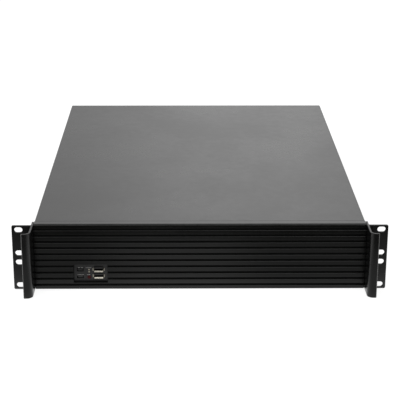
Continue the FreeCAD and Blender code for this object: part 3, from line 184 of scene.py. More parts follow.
class Recipe:
    """Geometry node tree with named inputs, which makes one plain mesh."""

    SHAPE = "NodeSocketGeometry"
    NUMBER = "NodeSocketFloat"
    COUNT = "NodeSocketInt"
    CHOICE = "NodeSocketBool"
    TURN = "NodeSocketVector"
    FINISH = "NodeSocketMaterial"

    def __init__(self, name: str, inputs: dict[str, str]) -> None:
        """Make the tree and its inputs.

        Args:
            name: name of the tree.
            inputs: input names to socket types, beside the geometry and the finish.
        """
        self.tree = bpy.data.node_groups.new(name, "GeometryNodeTree")
        self.graph = Graph(self.tree)
        self.tree.interface.new_socket("Geometry", in_out="OUTPUT", socket_type=self.SHAPE)
        for label, kind in ({"Geometry": self.SHAPE} | inputs | {"Finish": self.FINISH}).items():
            self.tree.interface.new_socket(label, in_out="INPUT", socket_type=kind)
        self.start = self.graph.add("NodeGroupInput")

    def __getitem__(self, name: str) -> Output:
        """Output that carries a named input."""
        return self.start.outputs[name]

    def grid(self, columns: Any, rows: Any) -> tuple[Output, Output, Output]:
        """Flat grid that a turned surface is bent from.

        Args:
            columns: points round the axis, with the first and last in one place.
            rows: points along the outline.

        Returns:
            The grid, its column share from 0 to 1, and its row number.
        """
        graph = self.graph
        inputs = {"Size X": 1.0, "Size Y": 1.0, "Vertices X": columns, "Vertices Y": rows}
        flat = graph.add("GeometryNodeMeshGrid", inputs)
        place = graph.add("ShaderNodeSeparateXYZ", {0: graph.add("GeometryNodeInputPosition")})
        share = graph.plus(place.outputs["X"], 0.5)
        up = graph.plus(place.outputs["Y"], 0.5)
        row = graph.math("ROUND", graph.times(up, graph.minus(rows, 1.0)))
        return flat.outputs["Mesh"], share, row

    def turned(self, flat: Any, share: Any, radius: Any, height: Any) -> Output:
        """Closed surface turned about the Z axis.

        Args:
            flat: grid to bend.
            share: how far round, from 0 to 1.
            radius: radius at each point.
            height: height at each point.

        Returns:
            The surface.
        """
        graph = self.graph
        angle = graph.times(share, math.tau)
        across = graph.times(radius, graph.math("COSINE", angle))
        along = graph.times(radius, graph.math("SINE", angle))
        return self.welded(self.moved(flat, graph.point(across, along, height)))

    def moved(self, shape: Output, place: Output) -> Output:
        """Geometry with each of its points at the given place."""
        return self.graph.add("GeometryNodeSetPosition", {"Geometry": shape, "Position": place})

    def welded(self, shape: Output, reach: float = WELD) -> Output:
        """Geometry with the points merged that lie within a reach of each other."""
        return self.graph.add("GeometryNodeMergeByDistance", {"Geometry": shape, "Distance": reach})

    def drawn(self, outline: Output, length: Any, reach: float = WELD) -> Output:
        """Closed solid drawn out along Z from a flat closed curve.

        Args:
            outline: the curve.
            length: how far it is drawn.
            reach: distance within which points are merged.

        Returns:
            The solid.
        """
        graph = self.graph
        face = graph.add("GeometryNodeFillCurve", {0: outline}, mode="NGONS")
        along = {"Mesh": face, "Offset": graph.point(z=length), "Offset Scale": 1.0, "Individual": False}
        sides = graph.add("GeometryNodeExtrudeMesh", along)
        near = graph.add("GeometryNodeFlipFaces", {0: face})
        return self.welded(self.join(sides, near), reach)

    def on_points(self, shape: Output, scale: Any = (1.0, 1.0, 1.0)) -> None:
        """Put the shape on each starting point, turned as the Turn input says, and end the tree.

        Args:
            shape: geometry of one copy.
            scale: its scale.
        """
        turn = self.graph.add("FunctionNodeEulerToRotation", {0: self["Turn"]})
        copies = {"Points": self["Geometry"], "Instance": shape, "Rotation": turn, "Scale": scale}
        self.end(self.graph.add("GeometryNodeInstanceOnPoints", copies))

    def join(self, *shapes: Output) -> Output:
        """Join geometries.

        Args:
            *shapes: the geometries.

        Returns:
            All of them as one.
        """
        node = self.graph.add("GeometryNodeJoinGeometry")
        for shape in shapes:
            self.graph.feed(node.inputs[0], shape)
        return node

    def end(self, shape: Output) -> None:
        """Realize the instances, set the finish and close the tree.

        Args:
            shape: geometry that the tree makes.
        """
        real = self.graph.add("GeometryNodeRealizeInstances", {0: shape})
        finished = {"Geometry": real, "Material": self["Finish"]}
        coated = self.graph.add("GeometryNodeSetMaterial", finished)
        self.graph.add("NodeGroupOutput", {0: coated})

    def make(self, name: str, shape: Shape, values: dict[str, Any]) -> Piece:
        """Run the tree on a mesh and keep the result as plain mesh.

        Args:
            name: name of the piece.
            shape: mesh that the tree starts from, which is freed.
            values: input names to values.

        Returns:
            The piece.
        """
        piece = mesh_object(name, shape)
        modifier = piece.modifiers.new(name, "NODES")
        modifier.node_group = self.tree
        for item in self.tree.interface.items_tree:
            if item.in_out == "INPUT" and item.name in values:
                modifier[item.identifier] = values[item.name]
        apply_modifiers(piece)
        return piece


def opaque(colour: Triple) -> tuple[float, float, float, float]:
    """Colour with full alpha."""
    return (*colour, 1.0)


# ---------- finishes
class Grain(Enum):
    """Which way a surface's fine texture runs."""

    EVEN = (1.0, 1.0, 1.0)
    ALONG_X = (STRETCH, 1.0, 1.0)
    ALONG_Y = (1.0, STRETCH, 1.0)
    ALONG_Z = (1.0, 1.0, STRETCH)


GRAIN_OCTAVES, MOTTLE_OCTAVES, FLECK_OCTAVES = 3.0, 4.0, 2.0
# scale of the flecks as a multiple of the mottling's, and their share in the clouding
FLECK_RATIO = 9.0
FLECK_SHARE = 0.35
# share of the grain in the tone, and noise values between which the tone goes from dark to light
GRAIN_SHARE = 0.4
TONE_RANGE = (0.35, 0.65)


@dataclass(frozen=True)
class Finish:
    """A surface finish with its mottling, grain, roughness detail and relief.

    Lengths are in metres, and scales are repeats per metre in Object coordinates.
    """

    name: str
    slot: str
    dark: Triple
    light: Triple
    roughness: tuple[float, float]
    metallic: float = 0.0
    specular: float = 0.5
    clear: float = 0.0
    clear_roughness: float = 0.2
    grain: Grain = Grain.EVEN
    grain_scale: float = 2600.0
    grain_depth: float = 0.00001
    grain_strength: float = 0.3
    mottle_scale: float = 18.0

    def material(self) -> bpy.types.Material:
        """Material of this finish, made once.

        Returns:
            The material.
        """
        found = bpy.data.materials.get(self.name)
        if found:
            return found
        made = bpy.data.materials.new(self.name)
        made.use_nodes = True
        graph = Graph(made.node_tree)
        place = graph.add("ShaderNodeTexCoord").outputs["Object"]
        run = graph.add("ShaderNodeMapping", {"Vector": place, "Scale": self.grain.value})
        grain = graph.noise(run, self.grain_scale, GRAIN_OCTAVES)
        mottle = graph.noise(place, self.mottle_scale, MOTTLE_OCTAVES)
        fleck = graph.noise(place, self.mottle_scale * FLECK_RATIO, FLECK_OCTAVES)
        cloud = graph.math("MULTIPLY_ADD", fleck, FLECK_SHARE, graph.times(mottle, 1.0 - FLECK_SHARE))
        tone = graph.math("MULTIPLY_ADD", grain, GRAIN_SHARE, graph.times(cloud, 1.0 - GRAIN_SHARE))
        bump = {"Height": grain, "Strength": self.grain_strength, "Distance": self.grain_depth}
        relief = graph.add("ShaderNodeBump", bump)
        shade = graph.ramp(tone, *TONE_RANGE, 0.0, 1.0)
        inputs = {
            "Base Color": graph.blend(shade, opaque(self.dark), opaque(self.light)),
            "Roughness": graph.ramp(cloud, *TONE_RANGE, *self.roughness),
            "Normal": relief,
            "Metallic": self.metallic,
            "Specular IOR Level": self.specular,
            "Coat Weight": self.clear,
            "Coat Roughness": self.clear_roughness,
        }
        surface = graph.add("ShaderNodeBsdfPrincipled", inputs)
        graph.add("ShaderNodeOutputMaterial", {"Surface": surface})
        return made

    def dress(self, piece: Piece) -> None:
        """Give the piece this finish alone.

        Args:
            piece: mesh object.
        """
        piece.data.materials.clear()
        piece.data.materials.append(self.material())
        piece.data.polygons.foreach_set("material_index", [0] * len(piece.data.polygons))

    def coat(self, piece: Piece, chosen: Callable[[bpy.types.MeshPolygon], bool]) -> None:
        """Give some of the piece's faces this finish, beside the one that it has.

        Args:
            piece: mesh object that has a finish.
            chosen: tells whether a face takes this finish.
        """
        piece.data.materials.append(self.material())
        for face in piece.data.polygons:
            if chosen(face):
                face.material_index = len(piece.data.materials) - 1


POWDER_COAT = Finish(
    "satin_powder_coat", "black_steel", (0.010, 0.010, 0.0098), (0.016, 0.016, 0.0155), (0.27, 0.33),
    grain_scale=1500.0, grain_depth=0.00003, grain_strength=0.22, mottle_scale=9.0,
)
PANEL_ANODISE = Finish(
    "black_anodised_panel", "black_aluminium", (0.0034, 0.0036, 0.0031), (0.0056, 0.0059, 0.0052),
    (0.15, 0.20), specular=0.3, grain=Grain.ALONG_X, grain_depth=0.000006, grain_strength=0.2,
)
HANDLE_ANODISE = Finish(
    "black_anodised_handle", "black_aluminium", (0.0014, 0.0016, 0.0013), (0.0032, 0.0034, 0.0030),
    (0.26, 0.34), grain=Grain.ALONG_Z, grain_depth=0.000008, grain_strength=0.25,
)
# painted highlight: pale colour for the light that the rounded free edge of a handle's lip catches
PAINTED_EDGE_HIGHLIGHT = Finish(
    "painted_highlight_edge", "black_aluminium", (0.120, 0.120, 0.117), (0.175, 0.175, 0.170), (0.24, 0.32),
    grain=Grain.ALONG_Z, grain_depth=0.000006, grain_strength=0.2,
)
GROOVE_ANODISE = Finish(
    "matt_black_groove", "black_aluminium", (0.0036, 0.0038, 0.0035), (0.0060, 0.0063, 0.0058), (0.60, 0.72),
    specular=0.12, grain=Grain.ALONG_X, grain_depth=0.00002,
)
ZINC = Finish(
    "zinc_coated_sheet", "bare_steel", (0.48, 0.49, 0.50), (0.60, 0.61, 0.62), (0.32, 0.42),
    metallic=1.0, grain_scale=500.0, grain_strength=0.25, mottle_scale=110.0,
)
NICKEL = Finish(
    "nickel_plate", "plated_steel", (0.33, 0.315, 0.265), (0.42, 0.40, 0.34), (0.24, 0.36),
    metallic=1.0, grain_scale=3000.0, grain_depth=0.000006, grain_strength=0.2, mottle_scale=200.0,
)
# painted shade: near-black colour on a nickel socket shell's inside and upper tab, standing for the shade
# there
PAINTED_SHADE_INSIDE = Finish(
    "painted_shade_inside", "plated_steel", (0.006, 0.006, 0.006), (0.012, 0.012, 0.011), (0.50, 0.62),
    specular=0.2, grain_scale=3000.0, mottle_scale=200.0,
)
BRASS = Finish(
    "turned_brass", "brass", (0.55, 0.38, 0.13), (0.74, 0.55, 0.24), (0.24, 0.36),
    metallic=1.0, grain=Grain.ALONG_Z, grain_scale=4000.0, grain_depth=0.000008, mottle_scale=120.0,
)
PLASTIC = Finish(
    "moulded_black_plastic", "black_plastic", (0.005, 0.005, 0.005), (0.010, 0.010, 0.010), (0.36, 0.48),
    grain_depth=0.00003, grain_strength=0.35, mottle_scale=80.0,
)
BUTTON = Finish(
    "satin_black_button", "black_plastic", (0.006, 0.006, 0.006), (0.010, 0.010, 0.010), (0.20, 0.28),
    grain_strength=0.2, mottle_scale=80.0,
)
SOLDER_MASK = Finish(
    "green_solder_mask", "circuit_board", (0.008, 0.060, 0.024), (0.014, 0.100, 0.040), (0.26, 0.34),
    clear=0.4, grain=Grain.ALONG_X, grain_scale=900.0, grain_depth=0.00002, mottle_scale=300.0,
)
AMBER = Finish(
    "cream_lens", "amber_lens", (0.46, 0.43, 0.34), (0.62, 0.58, 0.46), (0.22, 0.30),
    clear=0.3, grain_scale=1800.0, mottle_scale=400.0,
)
RED = Finish(
    "dark_red_lens", "red_lens", (0.050, 0.0020, 0.0020), (0.080, 0.0040, 0.0040), (0.26, 0.34),
    specular=0.2, grain_scale=1500.0, mottle_scale=300.0,
)
INK = Finish(
    "pale_print", "black_plastic", (0.34, 0.34, 0.33), (0.48, 0.48, 0.465), (0.50, 0.60),
    grain_scale=5000.0, mottle_scale=700.0,
)
GOLD = Finish(
    "gold_contact", "plated_steel", (0.62, 0.44, 0.16), (0.80, 0.60, 0.26), (0.20, 0.30),
    metallic=1.0, grain=Grain.ALONG_Y, grain_scale=3000.0, grain_depth=0.000005, mottle_scale=500.0,
)


# ---------- pieces
def body_of(node: str) -> str:
    """Name of the CAD body that carries a node."""
    return frame["nodes"][node]["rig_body"]


def hand_over(piece: Piece, finish: Finish, *nodes: str) -> Piece:
    """Finish a made piece, ride it on the body of the nodes that it stands for, and replace them.

    Args:
        piece: mesh object in place.
        finish: its finish.
        *nodes: CAD nodes that it replaces, all on one body.

    Returns:
        The piece.
    """
    finish.dress(piece)
    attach(piece, body_of(nodes[0]))
    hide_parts(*nodes)
    LOG.info("%s stands for %s", piece.name, ", ".join(nodes))
    return piece


def mesh_object(name: str, shape: Shape) -> Piece:
    """Object in the scene from a bmesh, which is freed.

    Args:
        name: name of the object.
        shape: its mesh, in place.

    Returns:
        The object.
    """
    mesh = bpy.data.meshes.new(name)
    shape.to_mesh(mesh)
    shape.free()
    piece = bpy.data.objects.new(name, mesh)
    bpy.context.scene.collection.objects.link(piece)
    return piece


def apply_modifiers(piece: Piece) -> None:
    """Turn a piece's modifiers into plain mesh.

    Args:
        piece: mesh object.
    """
    graph = bpy.context.evaluated_depsgraph_get()
    done = bpy.data.meshes.new_from_object(piece.evaluated_get(graph))
    piece.modifiers.clear()
    piece.data = done


def smooth(piece: Piece, sharp: float = 30.0) -> None:
    """Turn a piece's faces outwards and shade it smooth, with its flat faces and sharp edges kept so.

    Args:
        piece: mesh object.
        sharp: angle in degrees from which an edge stays sharp.
    """
    shape = bmesh.new()
    shape.from_mesh(piece.data)
    bmesh.ops.recalc_face_normals(shape, faces=shape.faces)
    shape.to_mesh(piece.data)
    shape.free()
    piece.data.shade_smooth()
    piece.data.set_sharp_from_angle(angle=math.radians(sharp))
    even = piece.modifiers.new("flat_faces_first", "WEIGHTED_NORMAL")
    even.weight = FLAT_FACE_WEIGHT
    even.keep_sharp = True
    apply_modifiers(piece)


def merged_copy(node: str, flat_angle: float = 0.0) -> Shape:
    """Copy of a CAD node's mesh with its points merged, and with each flat face in one piece if asked.

    Args:
        node: CAD node.
        flat_angle: degrees up to which neighbouring faces become one.

    Returns:
        The copy.
    """
    shape = bmesh.new()
    shape.from_mesh(frame["nodes"][node].data)
    bmesh.ops.remove_doubles(shape, verts=shape.verts, dist=MERGE)
    if flat_angle:
        limit = math.radians(flat_angle)
        bmesh.ops.dissolve_limit(shape, angle_limit=limit, verts=shape.verts, edges=shape.edges)
    return shape


def islands(shape: Shape) -> list[list[Vector]]:
    """Points of each separate solid in a mesh.

    Args:
        shape: mesh with merged points.

    Returns:
        One list of points a solid, in order of their middles.
    """
    left = dict.fromkeys(shape.verts)
    found: list[list[Vector]] = []
    while left:
        reach = [left.popitem()[0]]
        points = []
        while reach:
            vert = reach.pop()
            points.append(vert.co.copy())
            near = [other for edge in vert.link_edges if (other := edge.other_vert(vert)) in left]
            for other in near:
                del left[other]
            reach += near
        found.append(points)
    middles = {id(points): sum(points, Vector()) / len(points) for points in found}
    return sorted(found, key=lambda points: [round(part, DIGITS) for part in middles[id(points)]])


@dataclass(frozen=True)
class BrokenEdges:
    """Copy of a CAD node with its sharp edges rounded, which takes the node's place."""

    node: str
    finish: Finish
    radius: float = 0.25 * MM
    segments: int = 2
    sharp: float = 40.0

    def build(self) -> Piece:
        """Merge a copy of the node's triangles, round its edges and hand it over.

        Returns:
            The rounded piece.
        """
        piece = mesh_object(f"{self.node}_finished", merged_copy(self.node, FLAT_ANGLE))
        round_edges(piece, self.radius, self.segments, self.sharp)
        return hand_over(piece, self.finish, self.node)


def round_edges(piece: Piece, radius: float, segments: int = 2, sharp: float = 40.0) -> None:
    """Round the edges of a piece that are sharper than an angle.

    Args:
        piece: mesh object.
        radius: size of the rounding.
        segments: steps across it.
        sharp: angle in degrees.
    """
    rounding = piece.modifiers.new("rounded_edges", "BEVEL")
    rounding.width = radius
    rounding.segments = segments
    rounding.limit_method = "ANGLE"
    rounding.angle_limit = math.radians(sharp)
    rounding.use_clamp_overlap = False
    apply_modifiers(piece)
    smooth(piece)


# ---------- fasteners
class Drive(Enum):
    """Head of a screw: whether it has six sides, and how deep its cross is as a share of its height."""

    HEXAGON = (True, 0.0)
    CROSS = (False, 0.55)


@dataclass(frozen=True)
class Screws:
    """Threaded screws in the places of a CAD node's plain ones."""

    node: str
    ahead: Triple
    corner: Triple
    drive: Drive = Drive.HEXAGON
    pitch: float = 0.5 * MM
    thread: float = 0.16 * MM
    round_points: int = 36
    head_share: float = 0.8
    sharp: float = 35.0

    def build(self, recipe: Recipe) -> None:
        """Read the plain screws' sizes, and put a threaded one in each place.

        Args:
            recipe: tree that makes the screws.
        """
        ahead, corner = Vector(self.ahead), Vector(self.corner)
        source = merged_copy(self.node)
        plain = [self.measured(points, ahead, corner) for points in islands(source)]
        source.free()
        seats = bmesh.new()
        for seat, _ in plain:
            seats.verts.new(seat)
        six_sided, cut = self.drive.value
        values = plain[-1][1] | {
            "Six Sides": six_sided, "Cross Depth": cut,
            "Thread Pitch": self.pitch, "Thread Depth": self.thread, "Round Points": self.round_points,
            "Turn": Vector(Matrix((corner, ahead.cross(corner), ahead)).transposed().to_euler()),
            "Finish": NICKEL.material(),
        }
        piece = recipe.make(f"{self.node}_threaded", seats, values)
        smooth(piece, self.sharp)
        hand_over(piece, NICKEL, self.node)

    def measured(self, points: list[Vector], ahead: Vector, corner: Vector) -> tuple[Vector, dict[str, Any]]:
        """Seat and sizes of a plain screw, whose head is what reaches nearly as far out as its widest point.

        Args:
            points: points of the screw.
            ahead: direction from its tip to its head.
            corner: direction across it, through two opposite corners of its head.

        Returns:
            The middle of its head's underside, and the recipe's inputs that follow from its size.
        """
        heights = [point.dot(ahead) for point in points]
        middle = (max(points, key=lambda p: p.dot(corner)) + min(points, key=lambda p: p.dot(corner))) / 2
        off_axis = [(point - middle - (point - middle).dot(ahead) * ahead).length for point in points]
        head = max(off_axis)
        wide = [height for height, off in zip(heights, off_axis) if off > self.head_share * head]
        sizes = {
            "Head Radius": head, "Head Height": max(wide) - min(wide),
            "Shank Radius": min(off_axis), "Shank Length": min(wide) - min(heights),
        }
        return middle + (min(wide) - middle.dot(ahead)) * ahead, sizes


def screw_recipe() -> Recipe:
    """Tree that puts a screw on each point, with its head along its own Z axis.

    Returns:
        The recipe.
    """
    sizes = ("Head Radius", "Head Height", "Shank Radius", "Shank Length", "Thread Pitch", "Thread Depth")
    others = {"Six Sides": Recipe.CHOICE, "Round Points": Recipe.COUNT, "Turn": Recipe.TURN}
    recipe = Recipe("screws_on_points", dict.fromkeys((*sizes, "Cross Depth"), Recipe.NUMBER) | others)
    graph = recipe.graph
    head, high = recipe["Head Radius"], recipe["Head Height"]

    # head: centre, cross recess, chamfered rim, underside and neck, as shares of its radius and height
    cross_narrow, cross_spread, cross_power, cross_floor = 0.14, 0.36, 3.0, 0.7
    chamfer, sunk, outline_points = 0.86, -0.05, 8
    flat, share, row = recipe.grid(recipe["Round Points"], outline_points)
    angle = graph.times(share, math.tau)
    side = graph.math("FLOORED_MODULO", angle, math.pi / 3)
    off_flat = graph.math("COSINE", graph.minus(side, math.pi / 6))
    hexagon = graph.math("DIVIDE", math.cos(math.pi / 6), off_flat)
    rim = graph.plus(graph.times(recipe["Six Sides"], graph.minus(hexagon, 1.0)), 1.0)
    wave = graph.plus(graph.times(graph.math("COSINE", graph.times(angle, 4.0)), 0.5), 0.5)
    cross = graph.math("MULTIPLY_ADD", graph.math("POWER", wave, cross_power), cross_spread, cross_narrow)
    neck = graph.math("DIVIDE", recipe["Shank Radius"], head)
    cut = graph.minus(1.0, recipe["Cross Depth"])
    inner = graph.math("MINIMUM", rim, chamfer)
    outline = graph.pick(row, [0.0, graph.times(cross, cross_floor), cross, inner, rim, rim, neck, neck])
    levels = graph.pick(row, [cut, cut, 1.0, 1.0, chamfer, 0.0, 0.0, sunk])
    cap = recipe.turned(flat, share, graph.times(outline, head), graph.times(levels, high))

    # shank: a helical ridge from under the head to a tapered tip
    columns, rows_a_turn = 20, 4.0
    taper_start, tip_share, closed_from = 0.93, 0.72, 0.999
    turns = graph.math("DIVIDE", recipe["Shank Length"], recipe["Thread Pitch"])
    rows = graph.math("ROUND", graph.plus(graph.times(turns, rows_a_turn), 2.0))
    flat, share, row = recipe.grid(columns, rows)
    down = graph.math("DIVIDE", row, graph.minus(rows, 1.0))
    phase = graph.math("FRACT", graph.minus(graph.times(down, turns), share))
    ridge = graph.math("ABSOLUTE", graph.minus(graph.times(phase, 2.0), 1.0))
    deep = graph.times(graph.minus(1.0, ridge), recipe["Thread Depth"])
    taper = graph.ramp(down, taper_start, 1.0, 1.0, tip_share)
    radius = graph.times(graph.minus(recipe["Shank Radius"], deep), taper)
    open_end = graph.math("LESS_THAN", down, closed_from)
    depth = graph.times(down, graph.times(recipe["Shank Length"], -1.0))
    shank = recipe.turned(flat, share, graph.times(radius, open_end), depth)
    recipe.on_points(recipe.join(cap, shank))
    return recipe


@dataclass(frozen=True)
class Fasteners:
    """All the screws of the case."""

    def build(self) -> None:
        """Make the threaded screws."""
        recipe = screw_recipe()
        left, right, back, up = (-1.0, 0.0, 0.0), (1.0, 0.0, 0.0), (0.0, 1.0, 0.0), (0.0, 0.0, 1.0)
        Screws("left_handle_screws", right, back).build(recipe)
        Screws("right_handle_screws", left, back).build(recipe)
        Screws("panel_screws", back, right).build(recipe)
        Screws("fan_screws", back, right).build(recipe)
        Screws("cage_screws", up, right).build(recipe)
        Screws("slot_screws", up, right).build(recipe)
        Screws("cover_screws", back, right, Drive.CROSS).build(recipe)


# ---------- front
@dataclass(frozen=True)
class FrontPanel:
    """Ribbed aluminium panel with its control window and blind screw holes, and the two handles."""

    rib_rounding: float = 0.12 * MM
    handle_rounding: float = 0.6 * MM
    # width and depth of the painted highlight along the free edge of a handle's lip
    worn_width: float = 0.9 * MM
    worn_depth: float = 4.0 * MM
    window_gap: float = 0.2 * MM
    hole_spare: float = 0.2 * MM
    hole_points: int = 32
    reach: float = 5.0 * MM
    rear_margin: float = 0.1 * MM

    def build(self) -> None:
        """Make the panel and round the handles."""
        self.panel()
        for node in ("left_handle", "right_handle"):
            self.handle(node)

    def handle(self, node: str) -> None:
        """Handle with a painted highlight, a pale strip along its lip's free edge where the rounded edge
        catches the light.

        Args:
            node: CAD node.
        """
        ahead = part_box(node)[0].y + self.worn_depth
        piece = BrokenEdges(node, HANDLE_ANODISE, self.handle_rounding).build()
        lip = [abs(vertex.co.x) for vertex in piece.data.vertices if vertex.co.y < ahead]
        outer = max(lip) - self.worn_width
        # paint the highlight on the faces along the lip's free edge
        PAINTED_EDGE_HIGHLIGHT.coat(piece, lambda face: abs(face.center.x) > outer and face.center.y < ahead)

    def panel(self) -> None:
        """Make the panel, drawn out along X from its ribbed outline, with its openings cut."""
        low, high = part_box("front_panel")
        source = merged_copy("front_panel")
        levels = sorted({round(vert.co.y, DIGITS) for vert in source.verts})
        chamfer = levels[1] - levels[0]
        depth = levels[2] - levels[0]
        at_floor = [vert for vert in source.verts if abs(vert.co.y - low.y - depth) < TOUCH]
        floors = sorted({round(vert.co.z, DIGITS) for vert in at_floor})
        source.free()
        values = {
            "Grooves": len(floors) // 2, "First": (floors[0] + floors[1]) / 2,
            "Pitch": floors[2] - floors[0], "Width": floors[1] - floors[0],
            "Depth": depth, "Chamfer": chamfer,
            "Face": low.y, "Rear": high.y, "Bottom": low.z, "Top": high.z,
            "Left": low.x, "Length": high.x - low.x, "Finish": PANEL_ANODISE.material(),
        }
        piece = rib_recipe().make("front_panel_ribbed", self.cutters(low, high), values)
        round_edges(piece, self.rib_rounding)
        hand_over(piece, PANEL_ANODISE, "front_panel")
        inside = low.y + chamfer + 2.0 * TOUCH
        GROOVE_ANODISE.coat(piece, lambda face: inside < face.center.y < high.y - self.rear_margin)

    def cutters(self, low: Vector, high: Vector) -> Shape:
        """Solids that are cut from the panel: the control window and the blind holes behind.

        Args:
            low: panel's lowest corner.
            high: panel's highest corner.

        Returns:
            The cutting solids.
        """
        shape = bmesh.new()
        plate_low, plate_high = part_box("io_plate")
        gap = Vector((self.window_gap, 0.0, self.window_gap))
        start, end = plate_low - gap, plate_high + gap
        start.y, end.y = low.y - self.reach, high.y + self.reach
        window = Matrix.Translation((start + end) / 2) @ Matrix.Diagonal((*(end - start), 1.0))
        bmesh.ops.create_cube(shape, size=1.0, matrix=window)
        source = merged_copy("panel_screws")
        for points in islands(source):
            tip = min(point.y for point in points)
            shank = [point for point in points if point.y < tip + TOUCH]
            centre = sum(shank, Vector()) / len(shank)
            radius = max((point - centre).length for point in shank)
            first, last = tip - self.hole_spare, high.y + self.reach
            place = Matrix.Translation((centre.x, (first + last) / 2, centre.z))
            bmesh.ops.create_cone(
                shape, cap_ends=True, segments=self.hole_points, radius1=radius, radius2=radius,
                depth=last - first, matrix=place @ Matrix.Rotation(math.pi / 2, 4, "X"),
            )
        source.free()
        return shape


def rib_recipe() -> Recipe:
    """Tree that draws a grooved outline out along X and cuts the given solids from it.

    Returns:
        The recipe.
    """
    ribs = ("First", "Pitch", "Width", "Depth", "Chamfer")
    ends = ("Face", "Rear", "Bottom", "Top", "Left", "Length")
    recipe = Recipe("ribbed_panel", {"Grooves": Recipe.COUNT} | dict.fromkeys(ribs + ends, Recipe.NUMBER))
    graph = recipe.graph
    # six points a groove from the bottom up, then the panel's four corners from the top down
    groove_points, corners = 6.0, 4.0
    ribbed = graph.times(recipe["Grooves"], groove_points)
    index = graph.add("GeometryNodeInputIndex")
    groove = graph.math("FLOOR", graph.math("DIVIDE", index, groove_points))
    place = graph.minus(index, graph.times(groove, groove_points))
    middle = graph.math("MULTIPLY_ADD", groove, recipe["Pitch"], recipe["First"])
    half = graph.times(recipe["Width"], 0.5)
    wide = graph.plus(half, recipe["Chamfer"])
    less, more = graph.times(half, -1.0), graph.times(wide, -1.0)
    up = graph.plus(middle, graph.pick(place, [more, less, less, half, half, wide]))
    chamfer, depth = recipe["Chamfer"], recipe["Depth"]
    back = graph.plus(recipe["Face"], graph.pick(place, [0.0, chamfer, depth, depth, chamfer, 0.0]))
    last = graph.minus(index, ribbed)
    on_end = graph.math("GREATER_THAN", last, -0.5)
    corner = graph.math("MAXIMUM", last, 0.0)
    end_up = graph.pick(corner, [recipe["Top"], recipe["Top"], recipe["Bottom"], recipe["Bottom"]])
    end_back = graph.pick(corner, [recipe["Face"], recipe["Rear"], recipe["Rear"], recipe["Face"]])
    z = graph.add("ShaderNodeMix", {0: on_end, 2: up, 3: end_up}, data_type="FLOAT")
    y = graph.add("ShaderNodeMix", {0: on_end, 2: back, 3: end_back}, data_type="FLOAT")
    line = graph.add("GeometryNodeMeshLine", {"Count": graph.plus(ribbed, corners)})
    curve = graph.add("GeometryNodeMeshToCurve", {0: recipe.moved(line, graph.point(y, z))})
    ring = graph.add("GeometryNodeSetSplineCyclic", {"Geometry": curve, "Cyclic": True})
    solid = recipe.drawn(ring, recipe["Length"])
    # the outline's own X, Y and Z become the case's Y, Z and X
    spot = graph.add("ShaderNodeSeparateXYZ", {0: graph.add("GeometryNodeInputPosition")})
    across = graph.plus(spot.outputs["Z"], recipe["Left"])
    panel = recipe.moved(solid, graph.point(across, spot.outputs["X"], spot.outputs["Y"]))
    parts = {"Mesh 1": panel, "Mesh 2": recipe["Geometry"]}
    cut = graph.add("GeometryNodeMeshBoolean", parts, operation="DIFFERENCE", solver="EXACT")
    recipe.end(cut)
    return recipe


@dataclass(frozen=True)
class Tiles:
    """Thin round-cornered plates on points, such as printed strokes and contacts."""

    name: str
    finish: Finish
    node: str
    spots: tuple[tuple[Vector, float, float], ...]
    thickness: float
    turn: Triple = (math.pi / 2, 0.0, 0.0)
    corner: float = 0.25

    def build(self, recipe: Recipe) -> None:
        """Make the plates as one piece.

        Args:
            recipe: tree that makes the plates.
        """
        shape = bmesh.new()
        span = shape.verts.layers.float_vector.new("span")
        for middle, width, height in self.spots:
            shape.verts.new(middle)[span] = Vector((width, height, 1.0))
        values = {
            "Thickness": self.thickness, "Corner": self.corner, "Turn": Vector(self.turn),
            "Finish": self.finish.material(),
        }
        piece = recipe.make(self.name, shape, values)
        self.finish.dress(piece)
        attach(piece, body_of(self.node))
        LOG.info("%s rides with %s", piece.name, self.node)


def tile_recipe() -> Recipe:
    """Tree that puts a thin round-cornered plate on each point, as wide and high as the point's span says.

    Returns:
        The recipe.
    """
    inputs = {"Thickness": Recipe.NUMBER, "Corner": Recipe.NUMBER, "Turn": Recipe.TURN}
    recipe = Recipe("tiles_on_points", inputs)
    graph = recipe.graph
    corner_points, unit_weld = 4, 0.0001
    square = graph.add("GeometryNodeCurvePrimitiveQuadrilateral", {"Width": 1.0, "Height": 1.0})
    corners = {"Curve": square, "Radius": recipe["Corner"], "Count": corner_points}
    eased = graph.add("GeometryNodeFilletCurve", corners, mode="POLY")
    span = graph.add("GeometryNodeInputNamedAttribute", {"Name": "span"}, data_type="FLOAT_VECTOR")
    plate = recipe.drawn(eased, recipe["Thickness"], unit_weld)
    recipe.on_points(plate, span)
    return recipe


